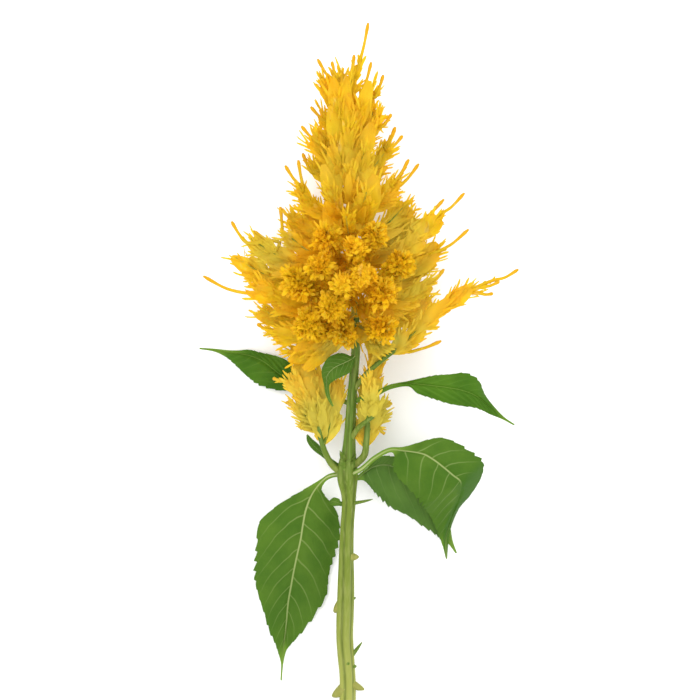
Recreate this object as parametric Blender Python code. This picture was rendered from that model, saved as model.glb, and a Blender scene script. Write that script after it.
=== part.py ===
"""A cut stem of plume celosia, laid on a table.

+Y runs along the stem to the tip of the plume, +X to the right seen from above, and the table is z = 0.
Sizes below are millimetres, measured from the node where the lowest pair of large leaves leaves the stem.
Every object hangs from one empty, which puts the middle of the footprint at the origin.
"""

import math
import random
from collections import namedtuple

import bmesh
import bpy
from mathutils import Vector
from mathutils.bvhtree import BVHTree

MM = 0.001
SEED = 20
GOLDEN_ANGLE = math.radians(137.5)
GAP = 0.3  # between two pieces that meet
SHARP_ANGLE = math.radians(40)
FOOTPRINT_CENTRE = (4.5, 35.3)  # from the leaf node to the middle of the footprint

# Stem: centre line (x, y, z) and radius, from the cut end to the end inside the plume.
STEM = [
    (-1.0, -145, 4.4, 4.2),
    (-0.4, -112, 8.8, 4.0),
    (-1.9, -90, 11.8, 4.2),
    (-1.4, -69, 14.6, 4.3),
    (-0.9, -39, 18.6, 3.5),
    (0.2, -19, 21.2, 3.5),
    (-0.6, -6, 23.2, 5.2),
    (0.4, 8, 25.0, 3.2),
    (1.7, 31, 28.0, 2.4),
    (3.6, 54, 30.8, 2.2),
    (3.6, 72, 32.9, 1.9),
]
STEM_RIBS = 5
STEM_SIDES = 15
STEM_RINGS = 21
RIB_DEPTH = 0.07
CUT_SLANT = 0.45  # rise of the slanted cut for each millimetre across the stem
RACHIS = [(3.6, 72, 32.9), (2.6, 100, 35.8), (0.6, 140, 38.6), (-0.8, 178, 40.3), (5.0, 200, 41.2)]

# Side shoots of the stem that carry the lower sprays: route (x, y, z) and end radii.
SHOOTS = {
    "left": (
        [(-1.0, -7, 23.2), (-7.5, -2, 25.2), (-11.2, 4.5, 26.8), (-13.6, 12, 27.8), (-14.4, 18, 28.2)],
        1.8,
        1.1,
    ),
    "right": ([(1, -3, 23.6), (7.8, 3, 27.0), (9.2, 11, 28.6), (9.8, 20, 29.0)], 2.0, 1.3),
    "front": ([(1.0, 11, 25.4), (5.0, 17, 31.0), (9.0, 20.5, 35.0), (12.5, 23, 37.0)], 1.5, 1.0),
    "long": ([(2.6, 36, 28.7), (9, 44, 31.5), (17, 51, 34.0), (25, 57, 35.6)], 1.4, 1.0),
}

# What is left of lower leaves and buds on the stem: place along it, angle round it, length, radius, lean.
STUBS = [
    (-47.0, 5, 6.6, 2.0, -0.12),
    (-70.0, 182, 8.4, 2.6, -1.1),
    (-71.0, 0, 5.6, 1.0, 0.25),
    (-101.5, 8, 12.5, 1.0, 1.15),
    (-104.0, 8, 5.2, 1.5, -0.1),
    (-111.0, -4, 9.8, 1.9, -0.55),
    (-113.0, 176, 9.6, 2.5, -0.75),
    (-20.5, 8, 12.4, 0.75, 0.12),
    (-104.0, 78, 5.0, 1.8, 0.4),
    (-60.0, 268, 4.8, 1.8, 0.3),
]

# Leaves: one row for each place along the midrib, from the stem out. A row holds x, y, z of the midrib,
# then of the left and of the right margin, seen from the stem. Stalks and tips have the midrib's alone.
LEAVES = {
    "leaf_lower_left": [
        (0.0, -5.5, 23.0),
        (-8.5, -7.0, 21.2),
        (-13.0, -9.8, 18.6, -12.0, -11.0, 18.4, -14.6, -9.4, 18.4),
        (-18.0, -16.5, 14.4, -12.8, -15.5, 13.0, -22.8, -14.6, 13.0),
        (-21.2, -24.5, 11.2, -6.5, -24.0, 8.4, -35.0, -22.0, 10.0),
        (-22.8, -32.5, 8.6, -4.3, -32.0, 5.4, -44.8, -31.0, 8.0),
        (-24.0, -40.0, 6.6, -4.5, -40.5, 3.6, -46.2, -41.5, 6.2),
        (-25.8, -48.0, 5.0, -7.0, -48.5, 3.0, -47.2, -51.5, 4.6),
        (-27.5, -56.0, 3.9, -9.8, -58.0, 2.4, -47.2, -60.5, 3.2),
        (-29.0, -64.0, 3.2, -11.0, -68.5, 2.0, -45.2, -69.5, 2.2),
        (-30.4, -72.0, 2.8, -16.6, -78.0, 1.8, -42.5, -78.0, 1.8),
        (-31.1, -80.0, 2.6, -23.2, -87.0, 1.8, -40.2, -86.0, 1.8),
        (-31.8, -87.5, 2.6, -29.0, -93.5, 2.2, -37.4, -92.0, 2.0),
        (-32.8, -95.0, 2.6, -31.4, -97.0, 2.4, -35.4, -98.0, 2.4),
        (-33.5, -103.0, 1.8, -32.9, -103.5, 1.8, -34.1, -103.5, 1.8),
        (-34.0, -112.0, 1.0),
    ],
    "leaf_lower_right": [
        (0.5, -6.5, 25.0),
        (6.5, -3.4, 30.0),
        (13.5, 2.6, 34.4),
        (20.5, 6.4, 36.8),
        (26.5, 6.2, 37.6, 28.0, 8.2, 37.2, 23.0, 3.2, 35.5),
        (36.5, 4.7, 38.2, 38.8, 11.4, 37.0, 22.2, -2.0, 33.5),
        (41.8, 2.1, 38.0, 46.0, 12.6, 36.6, 25.5, -8.0, 31.5),
        (46.9, -1.7, 37.2, 53.5, 10.2, 35.0, 29.5, -12.0, 30.0),
        (52.0, -6.0, 35.6, 60.8, 5.6, 32.5, 33.5, -16.8, 28.0),
        (56.1, -9.6, 33.2, 67.2, 0.4, 29.0, 36.5, -20.5, 26.0),
        (56.0, -15.0, 27.5, 66.8, -7.4, 23.5, 38.5, -23.5, 23.5),
        (54.4, -21.0, 21.5, 61.5, -16.8, 18.5, 41.3, -27.5, 19.5),
        (52.4, -27.5, 16.0, 56.2, -23.4, 14.6, 43.8, -32.5, 15.0),
        (50.4, -34.0, 11.8, 52.6, -31.8, 11.0, 45.8, -37.5, 11.0),
        (49.4, -41.0, 8.0, 50.9, -40.0, 7.8, 47.8, -43.0, 7.8),
        (50.0, -50.0, 4.0),
    ],
    "leaf_lower_right_behind": [
        (0.0, -9.5, 21.8),
        (4.6, -8.2, 22.4),
        (8.4, -5.2, 23.2, 9.2, -3.2, 23.2, 8.2, -9.6, 22.4),
        (13.4, -2.2, 23.8, 15.6, 2.4, 23.8, 11.0, -12.4, 20.5),
        (20.0, -1.6, 23.4, 21.4, 3.0, 23.6, 14.5, -16.8, 18.0),
        (27.0, -4.5, 22.0, 30.0, 1.0, 21.0, 21.0, -22.8, 15.0),
        (34.0, -9.5, 19.5, 39.0, -4.0, 18.5, 30.0, -27.4, 12.0),
        (40.0, -17.0, 16.0, 46.0, -13.0, 15.0, 38.0, -33.2, 9.0),
        (45.0, -25.5, 12.0, 50.0, -22.0, 11.0, 44.4, -37.4, 7.0),
        (49.0, -34.0, 8.0, 51.5, -31.0, 7.6, 47.8, -41.0, 5.0),
        (52.0, -41.0, 5.0, 52.9, -40.0, 5.0, 51.0, -42.5, 4.4),
        (55.0, -47.2, 3.0),
    ],
    "leaf_upper_right": [
        (1.7, 30.0, 27.8),
        (13.5, 34.0, 28.4),
        (21.0, 37.6, 29.6),
        (28.0, 39.6, 31.0, 30.0, 40.6, 31.0, 30.0, 37.8, 31.0),
        (33.0, 39.3, 31.6, 36.0, 42.0, 31.4, 34.5, 34.4, 30.6),
        (41.0, 38.4, 32.0, 43.0, 43.4, 31.4, 41.5, 32.0, 29.8),
        (49.0, 37.4, 32.0, 51.0, 44.0, 30.4, 49.2, 29.5, 28.6),
        (56.5, 36.0, 31.0, 58.5, 44.6, 28.6, 57.0, 28.0, 27.2),
        (62.5, 33.8, 29.2, 65.0, 41.2, 26.2, 63.0, 27.2, 25.6),
        (67.0, 30.8, 27.0, 68.3, 34.2, 24.8, 67.5, 25.6, 23.8),
        (71.5, 27.2, 24.6, 71.7, 29.4, 23.8, 71.0, 23.8, 22.8),
        (77.5, 22.2, 21.6, 77.8, 22.9, 21.4, 77.2, 21.3, 21.4),
        (83.5, 18.4, 19.0),
    ],
    "leaf_upper_left": [
        (1.6, 29.0, 27.6),
        (-5.0, 31.4, 20.4),
        (-13.5, 34.8, 10.8),
        (-22.0, 37.0, 7.0, -20.0, 33.0, 6.5, -24.0, 43.0, 6.5),
        (-28.0, 39.5, 5.0, -28.0, 35.2, 4.6, -30.0, 50.0, 4.4),
        (-35.0, 44.0, 4.2, -36.0, 35.6, 3.6, -36.5, 53.0, 3.6),
        (-42.5, 50.0, 3.8, -44.8, 38.2, 3.0, -44.5, 54.8, 3.4),
        (-49.0, 53.0, 3.6, -51.2, 42.6, 2.8, -50.2, 56.2, 3.4),
        (-55.0, 54.2, 3.4, -57.6, 48.8, 2.6, -56.0, 55.8, 3.2),
        (-61.5, 54.8, 3.0, -62.0, 52.4, 2.6, -61.5, 56.0, 3.0),
        (-68.0, 56.0, 2.4, -68.0, 55.2, 2.2, -68.0, 56.7, 2.4),
        (-75.5, 56.8, 1.6),
    ],
    "leaf_small_plume": [
        (3.4, 54.0, 30.8),
        (2.6, 52.0, 34.4),
        (-1.0, 50.0, 36.6, 1.5, 45.5, 36.2, -3.0, 54.5, 36.2),
        (-6.5, 47.4, 37.6, -2.5, 43.0, 37.2, -9.5, 52.5, 37.0),
        (-10.2, 43.5, 37.2, -6.4, 41.0, 36.8, -13.0, 46.0, 36.8),
        (-10.6, 38.5, 36.0, -9.2, 38.5, 35.9, -12.0, 39.0, 35.9),
        (-9.8, 33.0, 34.4, -8.8, 33.0, 34.4, -10.8, 33.0, 34.4),
        (-7.5, 28.0, 33.0),
    ],
    "leaf_small_left": [
        (-2.0, -4.0, 20.6),
        (-8.6, 0.4, 20.4),
        (-12.0, 3.5, 21.2, -13.2, 2.6, 21.0, -11.3, 5.0, 21.0),
        (-16.0, 7.0, 22.0, -17.8, 6.2, 21.7, -14.8, 8.8, 21.7),
        (-19.0, 10.5, 22.2, -20.4, 10.0, 22.1, -17.8, 11.4, 22.1),
        (-20.5, 13.6, 22.0),
    ],
    "leaf_small_node": [
        (0.2, -20.5, 21.2),
        (-3.4, -21.0, 22.0),
        (-5.0, -20.4, 22.2, -4.6, -22.0, 22.1, -4.4, -18.6, 22.1),
        (-7.0, -20.0, 21.8, -7.0, -22.2, 21.6, -6.8, -17.8, 21.6),
        (-8.6, -20.2, 21.0, -8.8, -21.6, 20.9, -8.6, -18.8, 20.9),
        (-9.4, -20.4, 20.6),
    ],
}

# Sprays of the plume that its outline shows: height on the rachis, then x, y of the spray's tip,
# how far the tip lies above the rachis, and the width of the spray.
OUTLINE_SPRAYS = [
    (176, 5.4, 196, 0, 5.5),
    (166, -12.0, 189, 2, 7),
    (164, 12.5, 186, -2, 7),
    (152, -13.0, 175, -4, 7),
    (150, 15.5, 172, 3, 7.5),
    (140, -16.0, 162, 3, 7.5),
    (137, 20.5, 157, -3, 9),
    (128, -17.5, 149, -4, 8),
    (123, 25.0, 141, 4, 10),
    (117, -24.5, 136, 5, 10),
    (108, 29.0, 129, -5, 11),
    (106, -29.0, 123, -3, 11),
    (98, 45.5, 122, 4, 12),
    (97, -48.0, 111, 5, 12),
    (88, 45.5, 107, -6, 14),
    (99, -30.0, 113, 7, 10),
    (89, -56.0, 102, -5, 13),
    (80, 40.0, 89, 5, 12),
    (81, -48.0, 88, 6, 13),
    (74, -43.0, 76, -6, 11),
    (74, 31.0, 74, -5, 10),
    (69, -36.0, 65, 3, 11),
    (67, -29.0, 55, -2, 10),
    (68, 17.0, 57, 12, 9),
]
# Shorter sprays that face up and fill the middle, in the same terms.
FRONT_SPRAYS = [
    (70, -22, 70, 24, 10),
    (70, 19, 68, 23, 10),
    (71, -3, 64, 22, 9),
    (74, -9, 79, 35, 9),
    (79, 18, 86, 31, 10),
    (82, -27, 92, 23, 11),
    (84, -3, 89, 39, 8),
    (87, 8, 94, 37, 8),
    (91, -15, 99, 31, 9),
    (90, 28, 100, 20, 10),
    (97, 4, 107, 34, 8),
    (99, -12, 113, 26, 9),
    (104, 14, 114, 26, 9),
    (109, -1, 121, 27, 8),
    (112, 9, 133, 19, 9),
    (115, -9, 136, 18, 9),
    (121, 1, 145, 17, 9),
    (130, 8, 154, 13, 8),
    (134, -7, 158, 12, 8),
    (141, 1, 166, 11, 8),
    (152, 7, 175, 7, 7),
    (155, -5, 179, 7, 7),
]
# Sprays under the plume, placed by a rule: rows of (height, rise of a spray) and (height, reach).
UNDER_SPRAYS = 11
UNDER_SEED = 5
UNDER_FROM, UNDER_TO = 75, 168
RISE = [(60, -7), (66, -2), (74, 6), (86, 14), (100, 19), (125, 23), (150, 27), (170, 26)]
REACH = [
    (48, 24),
    (60, 37),
    (75, 44),
    (90, 46),
    (105, 44),
    (116, 38),
    (128, 30),
    (145, 24),
    (165, 18),
    (185, 11),
]
PRESSED_REACH = 1.2  # the longest of them bend and lie along the table
# The plume's core: place along it and radius.
CORE = [(64, 5.0), (72, 11), (82, 15), (95, 16), (110, 13.5), (130, 10), (155, 6.5), (180, 3.4), (200, 1.2)]

# Long threads that stand out of the outline: x, y at the plume, then at the tip, z above the rachis.
THREADS = [
    (6.0, 199, 10.0, 217.5, 1),
    (-7.0, 188, -15.0, 199.5, 2),
    (-5.5, 190, -8.0, 198.5, 0),
    (2.0, 190, 3.0, 201.5, 3),
    (7.0, 183, 11.5, 198.0, 2),
    (-9.0, 168, -18.5, 176.5, -3),
    (-14.0, 158, -23.0, 166.5, 3),
    (-18.0, 144, -22.5, 153.5, -3),
    (-22.5, 136, -31.0, 147.0, 4),
    (-22.0, 136, -24.5, 149.5, 6),
    (-32.0, 113, -33.5, 127.0, -2),
    (-50.0, 109, -57.5, 119.5, 5),
    (-34.0, 109, -47.0, 115.0, 1),
    (-48.0, 84, -71.5, 92.5, 6),
    (-39.0, 66, -45.0, 69.0, 2),
    (13.5, 181, 17.5, 192.0, -1),
    (16.0, 166, 21.5, 172.5, 2),
    (18.5, 157, 23.5, 166.5, -3),
    (20.0, 155, 27.0, 162.0, 1),
    (22.0, 138, 30.0, 150.0, 4),
    (24.0, 136, 35.0, 148.0, 2),
    (31.0, 117, 47.5, 130.5, 3),
    (44.0, 122, 57.5, 133.5, 4),
    (42.0, 104, 60.0, 116.0, -5),
    (38.0, 86, 47.5, 96.0, 4),
    (27.0, 56, 46.5, 60.5, -3),
]

# Sprays on the side shoots: routes of each body (x, y, z) and its width, and threads' tips.
SIDE_SPRAYS = {
    "spray_left_low": {
        "bodies": [
            ([(-11.4, 4, 26.2), (-15.0, 20, 28.2), (-19.5, 36, 25.6), (-21.5, 51, 19.6)], 13),
            ([(-13.6, 17, 28.0), (-19.5, 22, 27.0), (-25.5, 28, 25.0)], 7),
            ([(-14.6, 24, 28.4), (-22.5, 33, 28.4), (-28.5, 41, 28.0)], 8),
            ([(-12.0, 9, 27.6), (-8.8, 19, 27.4), (-7.8, 30, 27.2), (-8.5, 44, 24.0)], 11),
            ([(-13.6, 16, 28.0), (-14.0, 29, 26.0), (-14.4, 43, 20.6)], 9),
            ([(-14.0, 14, 28.0), (-18.0, 17, 25.5), (-22.6, 21, 24.5)], 5),
        ],
        "threads": [(-37.5, 42, 28), (-31.0, 30, 24), (-24.0, 16.5, 25)],
    },
    "spray_right_low": {
        "bodies": [
            ([(9.4, 8, 28.0), (9.8, 19, 26.5), (10.6, 30, 23.5), (12.5, 42, 20.5)], 13),
            ([(9.6, 15, 28.6), (14.0, 20, 23.0), (17.5, 28, 18.6)], 6),
            ([(11.5, 36, 22.0), (13.5, 47, 21.0), (15.5, 58, 19.0)], 9),
            ([(8.8, 6, 27.6), (6.6, 11, 26.5), (5.6, 18, 25.0)], 5),
        ],
        "threads": [(22.0, 29.5, 18), (18.5, 14.0, 24)],
    },
    "spray_front_low": {
        "bodies": [([(9.0, 20.5, 35.0), (10.5, 26, 37.4), (11.0, 33, 38.6), (10.0, 40, 38.4)], 8)],
        "threads": [],
    },
    "spray_right_long": {
        "bodies": [
            ([(17.5, 51.4, 34.0), (31, 63.0, 36.6), (46, 76, 38.2), (61, 87.0, 37.6)], 11),
            ([(9.5, 44.6, 31.8), (13.0, 49, 32.2), (16.0, 54, 31.5)], 6),
        ],
        "threads": [(84.5, 96.0, 36), (75.0, 90.0, 39), (72.0, 84.0, 36)],
    },
}

THREAD_RADIUS = 0.6
SPRAY_RINGS = 5
STALK_HALF = 1.2  # half width of a leaf's stalk
TIP_HALF = 0.4
STALK_THICK = 2.0
BLADE_THICK = 0.75
MIDRIB_THICK = 1.7
SMALL_LEAF = 7.0  # widest half width of a leaf that needs few faces

Spray = namedtuple("Spray", "route width roll")


def vec(point):
    return Vector(point[:3])


def between(rows, at):
    """The value at a place, from rows of (place, value)."""
    for (a, va), (b, vb) in zip(rows, rows[1:]):
        if at <= b:
            return va + (vb - va) * max(0.0, at - a) / (b - a)
    return rows[-1][1]


def smooth(rows, count):
    """Points on the Catmull-Rom curve through the rows, evenly spaced by row."""
    rows = [tuple(r) for r in rows]
    rows = [tuple(2 * a - b for a, b in zip(rows[0], rows[1])), *rows]
    rows.append(tuple(2 * a - b for a, b in zip(rows[-1], rows[-2])))
    out = []
    for i in range(count):
        s = i / (count - 1) * (len(rows) - 3)
        k = min(int(s), len(rows) - 4)
        t = s - k
        out.append(tuple(
            0.5 * (2 * b + (c - a) * t + (2 * a - 5 * b + 4 * c - d) * t**2 + (3 * b - 3 * c + d - a) * t**3)
            for a, b, c, d in zip(*rows[k:k + 4])
        ))
    return out


def tangents(points):
    last = len(points) - 1
    return [(points[min(i + 1, last)] - points[max(i - 1, 0)]).normalized() for i in range(last + 1)]


def frames(points, up=Vector((0, 0, 1))):
    """For each point of a route: its direction, and two directions across it."""
    found = []
    for forward in tangents(points):
        side = forward.cross(up)
        if side.length < 0.1:
            side = forward.cross(Vector((1, 0, 0)))
        side.normalize()
        found.append((forward, side, side.cross(forward)))
    return found


def pressed(z, low):
    """A height that would be under the table is pressed up to just over it, softly."""
    soft = 1.2
    return low + soft * math.log1p(math.exp(min((z - low) / soft, 60)))


def loft(rings, tip=None):
    """A closed mesh (points, faces) through rings of equal count, the last one drawn to a tip if given."""
    n = len(rings[0])
    points = [p for ring in rings for p in ring]
    faces = [tuple(reversed(range(n)))]
    for i in range(len(rings) - 1):
        a, b = i * n, (i + 1) * n
        faces += [(a + j, a + (j + 1) % n, b + (j + 1) % n, b + j) for j in range(n)]
    top = (len(rings) - 1) * n
    if tip is None:
        faces.append(tuple(range(top, top + n)))
    else:
        points.append(tip)
        faces += [(top + j, top + (j + 1) % n, len(points) - 1) for j in range(n)]
    return points, faces


def add_object(name, mesh_data, material=None):
    points, faces = mesh_data
    mesh = bpy.data.meshes.new(name)
    mesh.from_pydata([p * MM for p in points], [], faces)
    bm = bmesh.new()
    bm.from_mesh(mesh)
    bmesh.ops.recalc_face_normals(bm, faces=bm.faces)
    bm.to_mesh(mesh)
    bm.free()
    obj = bpy.data.objects.new(name, mesh)
    bpy.context.scene.collection.objects.link(obj)
    if material:
        mesh.materials.append(material)
    return obj


def combine(obj, shapes, operation, solver="EXACT"):
    """Joins mesh shapes to an object, or cuts them from it, by one applied Boolean on a collection."""
    group = bpy.data.collections.new("helpers")
    bpy.context.scene.collection.children.link(group)
    for i, shape in enumerate(shapes):
        helper = add_object(f"helper_{i}", shape)
        bpy.context.scene.collection.objects.unlink(helper)
        group.objects.link(helper)
    modifier = obj.modifiers.new(operation.lower(), "BOOLEAN")
    modifier.operation = operation
    modifier.operand_type = "COLLECTION"
    modifier.collection = group
    modifier.solver = solver
    bpy.context.view_layer.update()
    graph = bpy.context.evaluated_depsgraph_get()
    joined = bpy.data.meshes.new_from_object(obj.evaluated_get(graph))
    obj.modifiers.clear()
    obj.data = joined
    for helper in list(group.objects):
        bpy.data.objects.remove(helper)
    bpy.data.collections.remove(group)
    keep_largest(obj)
    return obj


def keep_largest(obj):
    """Drops the crumbs and closed hollows that a Boolean leaves beside the main body."""
    bm = bmesh.new()
    bm.from_mesh(obj.data)
    bmesh.ops.remove_doubles(bm, verts=bm.verts, dist=1e-6)
    left = set(bm.faces)
    bodies = []
    while left:
        body = [left.pop()]
        for face in body:
            for edge in face.edges:
                found = left.intersection(edge.link_faces)
                left -= found
                body.extend(found)
        bodies.append(body)
    bodies.sort(key=len)
    for body in bodies[:-1]:
        bmesh.ops.delete(bm, geom=body, context="FACES")
    bm.to_mesh(obj.data)
    bm.free()


def material(name, colour, roughness):
    made = bpy.data.materials.new(name)
    made.use_nodes = True
    shader = made.node_tree.nodes["Principled BSDF"]
    shader.inputs["Base Color"].default_value = (*colour, 1)
    shader.inputs["Roughness"].default_value = roughness
    shader.inputs["Metallic"].default_value = 0.0
    made.diffuse_color = (*colour, 1)
    return made


def round_ring(centre, side, up, radius, sides, wave=0.0, ribs=1):
    ring = []
    for j in range(sides):
        a = 2 * math.pi * j / sides
        r = radius * (1 + wave * math.cos(ribs * a))
        ring.append(centre + side * (r * math.cos(a)) + up * (r * math.sin(a)))
    return ring


def stem_shape(extra=0.0):
    """The ribbed main stem. With extra, the room that other pieces leave round it."""
    rows = smooth(STEM, STEM_RINGS)
    centres = [vec(r) for r in rows]
    rings = []
    for i, (row, (_, side, up)) in enumerate(zip(rows, frames(centres))):
        ring = round_ring(centres[i], side, up, row[3] + extra, STEM_SIDES, RIB_DEPTH, STEM_RIBS)
        if i == 0:
            ring = [p + Vector((0, (p.x - centres[0].x) * CUT_SLANT, 0)) for p in ring]
        rings.append(ring)
    if extra:
        rings[-1] = [p + Vector((0, extra, 0)) for p in rings[-1]]
    return loft(rings)


def tube_shape(route, start, end, sides=8, rings=6, extra=0.0):
    points = [vec(p) for p in smooth(route, rings)]
    if extra:
        points[-1] = points[-1] + tangents(points)[-1] * extra
    made = []
    for i, (_, side, up) in enumerate(frames(points)):
        radius = start + (end - start) * i / (rings - 1) + extra
        made.append(round_ring(points[i], side, up, radius, sides))
    return loft(made)


def stem_at(y):
    """Centre and radius of the stem at a height."""
    rows = smooth(STEM, 120)
    row = min(rows, key=lambda r: abs(r[1] - y))
    return vec(row), row[3]


def stub_shape(y, angle, length, radius, lean):
    """What is left of a leaf or a bud: a short tapering stub that starts inside the stem."""
    centre, _ = stem_at(y)
    a = math.radians(angle)
    out = Vector((math.cos(a), lean, math.sin(a))).normalized()
    _, side, up = frames([centre, centre + out])[0]
    rings = [
        round_ring(centre + out * (length * s), side, up, radius * w, 6)
        for s, w in ((0.1, 1.3), (0.6, 1.05), (0.85, 0.7), (1.0, 0.3))
    ]
    return loft(rings)


def build_stem(green):
    stem = add_object("stem", stem_shape(), green)
    shapes = [tube_shape(*shoot) for shoot in SHOOTS.values()]
    shapes += [stub_shape(*stub) for stub in STUBS]
    return combine(stem, shapes, "UNION")


def stem_room():
    """The stem and its shoots, grown by the gap: what other pieces are cut by where they meet them."""
    return [stem_shape(GAP)] + [tube_shape(*shoot, extra=GAP) for shoot in SHOOTS.values()]


def leaf_stations(rows, count):
    """Midrib, left margin and right margin at even steps along a leaf."""
    full = []
    last = len(rows) - 1
    for i, row in enumerate(rows):
        if len(row) == 3:
            forward = vec(rows[min(i + 1, last)]) - vec(rows[max(i - 1, 0)])
            across = Vector((-forward.y, forward.x, 0)).normalized()
            half = across * (STALK_HALF if 2 * i < last else TIP_HALF)
            row = (*row, *(vec(row) + half), *(vec(row) - half))
        full.append(row)
    return [(vec(r), vec(r[3:]), vec(r[6:])) for r in smooth(full, count)]


def leaf_grid(stations, cells):
    """Points across the leaf at each station, from its right margin to its left, with shallow teeth."""
    grid = []
    for i, (middle, left, right) in enumerate(stations):
        line = []
        for j in range(-cells, cells + 1):
            share = abs(j) / cells
            reach = (left if j > 0 else right) - middle
            tooth = 1 + 0.045 * (1 if i % 2 else -1) * (share == 1) * (reach.length > 3)
            point = middle + Vector((reach.x, reach.y, 0)) * (share * tooth)
            point.z = middle.z + reach.z * share**1.6
            line.append(point)
        grid.append(line)
    return grid


def leaf_thickness(stations, i, share, widest):
    """Thick and round at the stalk, thin in the blade, with a midrib that thins towards the tip."""
    middle, left, right = stations[i]
    along = i / len(stations)
    blade = min(1.0, max((left - middle).length, (right - middle).length) / (0.35 * widest))
    rib = BLADE_THICK + (MIDRIB_THICK - BLADE_THICK) * max(0.0, 1 - 3 * share) * (1 - along)
    stalk = STALK_THICK * math.sqrt(1 - 0.75 * share**2)
    return stalk + (rib - stalk) * blade if along < 0.5 else rib


def leaf_shape(rows, count, cells, widest):
    """A leaf from its rows: stalk, blade with a raised midrib, and hanging margins."""
    stations = leaf_stations(rows, count)
    grid = leaf_grid(stations, cells)
    columns = 2 * cells + 1
    tops, bottoms = [], []
    for i in range(count):
        before, after = grid[max(i - 1, 0)], grid[min(i + 1, count - 1)]
        for j in range(columns):
            right, left = grid[i][max(j - 1, 0)], grid[i][min(j + 1, columns - 1)]
            normal = (after[j] - before[j]).cross(left - right).normalized()
            if normal.z < 0:
                normal.negate()
            thick = leaf_thickness(stations, i, abs(j - cells) / cells, widest)
            point = grid[i][j].copy()
            point.z = pressed(point.z, thick / 2 + 0.1)
            tops.append(point + normal * (thick / 2))
            bottoms.append(point - normal * (thick / 2))
    return tops + bottoms, sheet_faces(count, columns)


def sheet_faces(rows, columns):
    """Faces of a closed sheet: its top, its underside, and the rim between them."""
    under = rows * columns
    faces = []
    for i in range(rows - 1):
        for j in range(columns - 1):
            a, b = i * columns + j, i * columns + j + 1
            c, d = b + columns, a + columns
            faces += [(a, b, c), (a, c, d)]
            faces += [(under + c, under + b, under + a), (under + d, under + c, under + a)]
    for i in range(rows - 1):
        for j in (0, columns - 1):
            a, b = i * columns + j, (i + 1) * columns + j
            faces.append((a, b, under + b, under + a) if j == 0 else (b, a, under + a, under + b))
    for row in (0, (rows - 1) * columns):
        for j in range(columns - 1):
            a, b = row + j, row + j + 1
            faces.append((a, under + a, under + b, b) if row else (b, under + b, under + a, a))
    return faces


def build_leaves(green):
    room = stem_room()
    made = []
    for name, rows in LEAVES.items():
        margins = leaf_stations(rows, 40)
        widest = max(max((left - mid).length, (right - mid).length) for mid, left, right in margins)
        count, cells = (9, 1) if widest < SMALL_LEAF else (19, 3)
        leaf = add_object(name, leaf_shape(rows, count, cells, widest), green)
        made.append(combine(leaf, room, "DIFFERENCE"))
    return made


def rachis_at(y):
    rows = [(p[1], i) for i, p in enumerate(RACHIS)]
    s = between(rows, y) / (len(RACHIS) - 1)
    return vec(smooth(RACHIS, 101)[round(s * 100)])


def listed_sprays(rows, rng):
    """Sprays from rows of root height, tip x, tip y, tip above the rachis, and width."""
    sprays = []
    for root_y, x, y, above, width in rows:
        root = rachis_at(max(root_y, 72))
        root.y = root_y
        tip = Vector((x, y, rachis_at(max(y, 72)).z + above))
        sprays.append(Spray(spray_route(root, tip), width, rng.uniform(-0.5, 0.5)))
    return sprays


def under_sprays(rng):
    """Sprays under the plume, which it rests on: they swing from side to side along the rachis."""
    sprays = []
    for k in range(UNDER_SPRAYS):
        root_y = UNDER_FROM + (UNDER_TO - UNDER_FROM) * k / (UNDER_SPRAYS - 1)
        angle = -math.pi / 2 + math.radians(58) * math.sin(k * GOLDEN_ANGLE + 1)
        root = rachis_at(max(root_y, 72))
        root.y = root_y
        tip_y = root_y + between(RISE, root_y)
        reach = between(REACH, tip_y) * rng.uniform(0.84, 1.0) * PRESSED_REACH
        tip = root + Vector((math.cos(angle) * reach, tip_y - root_y, math.sin(angle) * reach * 0.9))
        sprays.append(Spray(spray_route(root, tip), rng.uniform(9, 13), rng.uniform(-0.5, 0.5)))
    return sprays


def spray_route(root, tip):
    """From the rachis out, then turning up towards the tip of the plume."""
    reach = tip - root
    bow = Vector((0, -0.13 * Vector((reach.x, 0, reach.z)).length, 0))
    points = [root, root + reach * 0.35 + bow, root + reach * 0.7 + bow * 0.8, tip]
    return [Vector((p.x, p.y, pressed(p.z, -0.3))) for p in points]


def spray_body(spray, sides=6):
    """The flattened body of a spray: narrow at the root, widest past the middle, drawn to a point."""
    points = [vec(p) for p in smooth(spray.route, SPRAY_RINGS + 1)]
    made = []
    for i, (_, side, up) in enumerate(frames(points)[:-1]):
        s = i / SPRAY_RINGS
        half = spray.width / 2 * (0.34 + 0.66 * math.sin(math.pi * min(1, 0.1 + s * 0.85)))
        across = side * math.cos(spray.roll) + up * math.sin(spray.roll)
        through = up * math.cos(spray.roll) - side * math.sin(spray.roll)
        thick = max(1.3, half * 0.42)
        made.append([
            points[i] + across * (half * math.cos(a)) + through * (thick * math.sin(a))
            for a in (2 * math.pi * j / sides for j in range(sides))
        ])
    return loft(made, points[-1])


def needle(points, radii, flat):
    """A three-sided tepal or thread along a route, with one radius for each point but the last."""
    rings = []
    for point, radius, (_, side, up) in zip(points, radii, frames(points)):
        rings.append([
            point + side * (radius * math.cos(a)) + up * (radius * flat * math.sin(a))
            for a in (math.radians(d) for d in (90, 210, 330))
        ])
    return loft(rings, points[-1])


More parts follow.
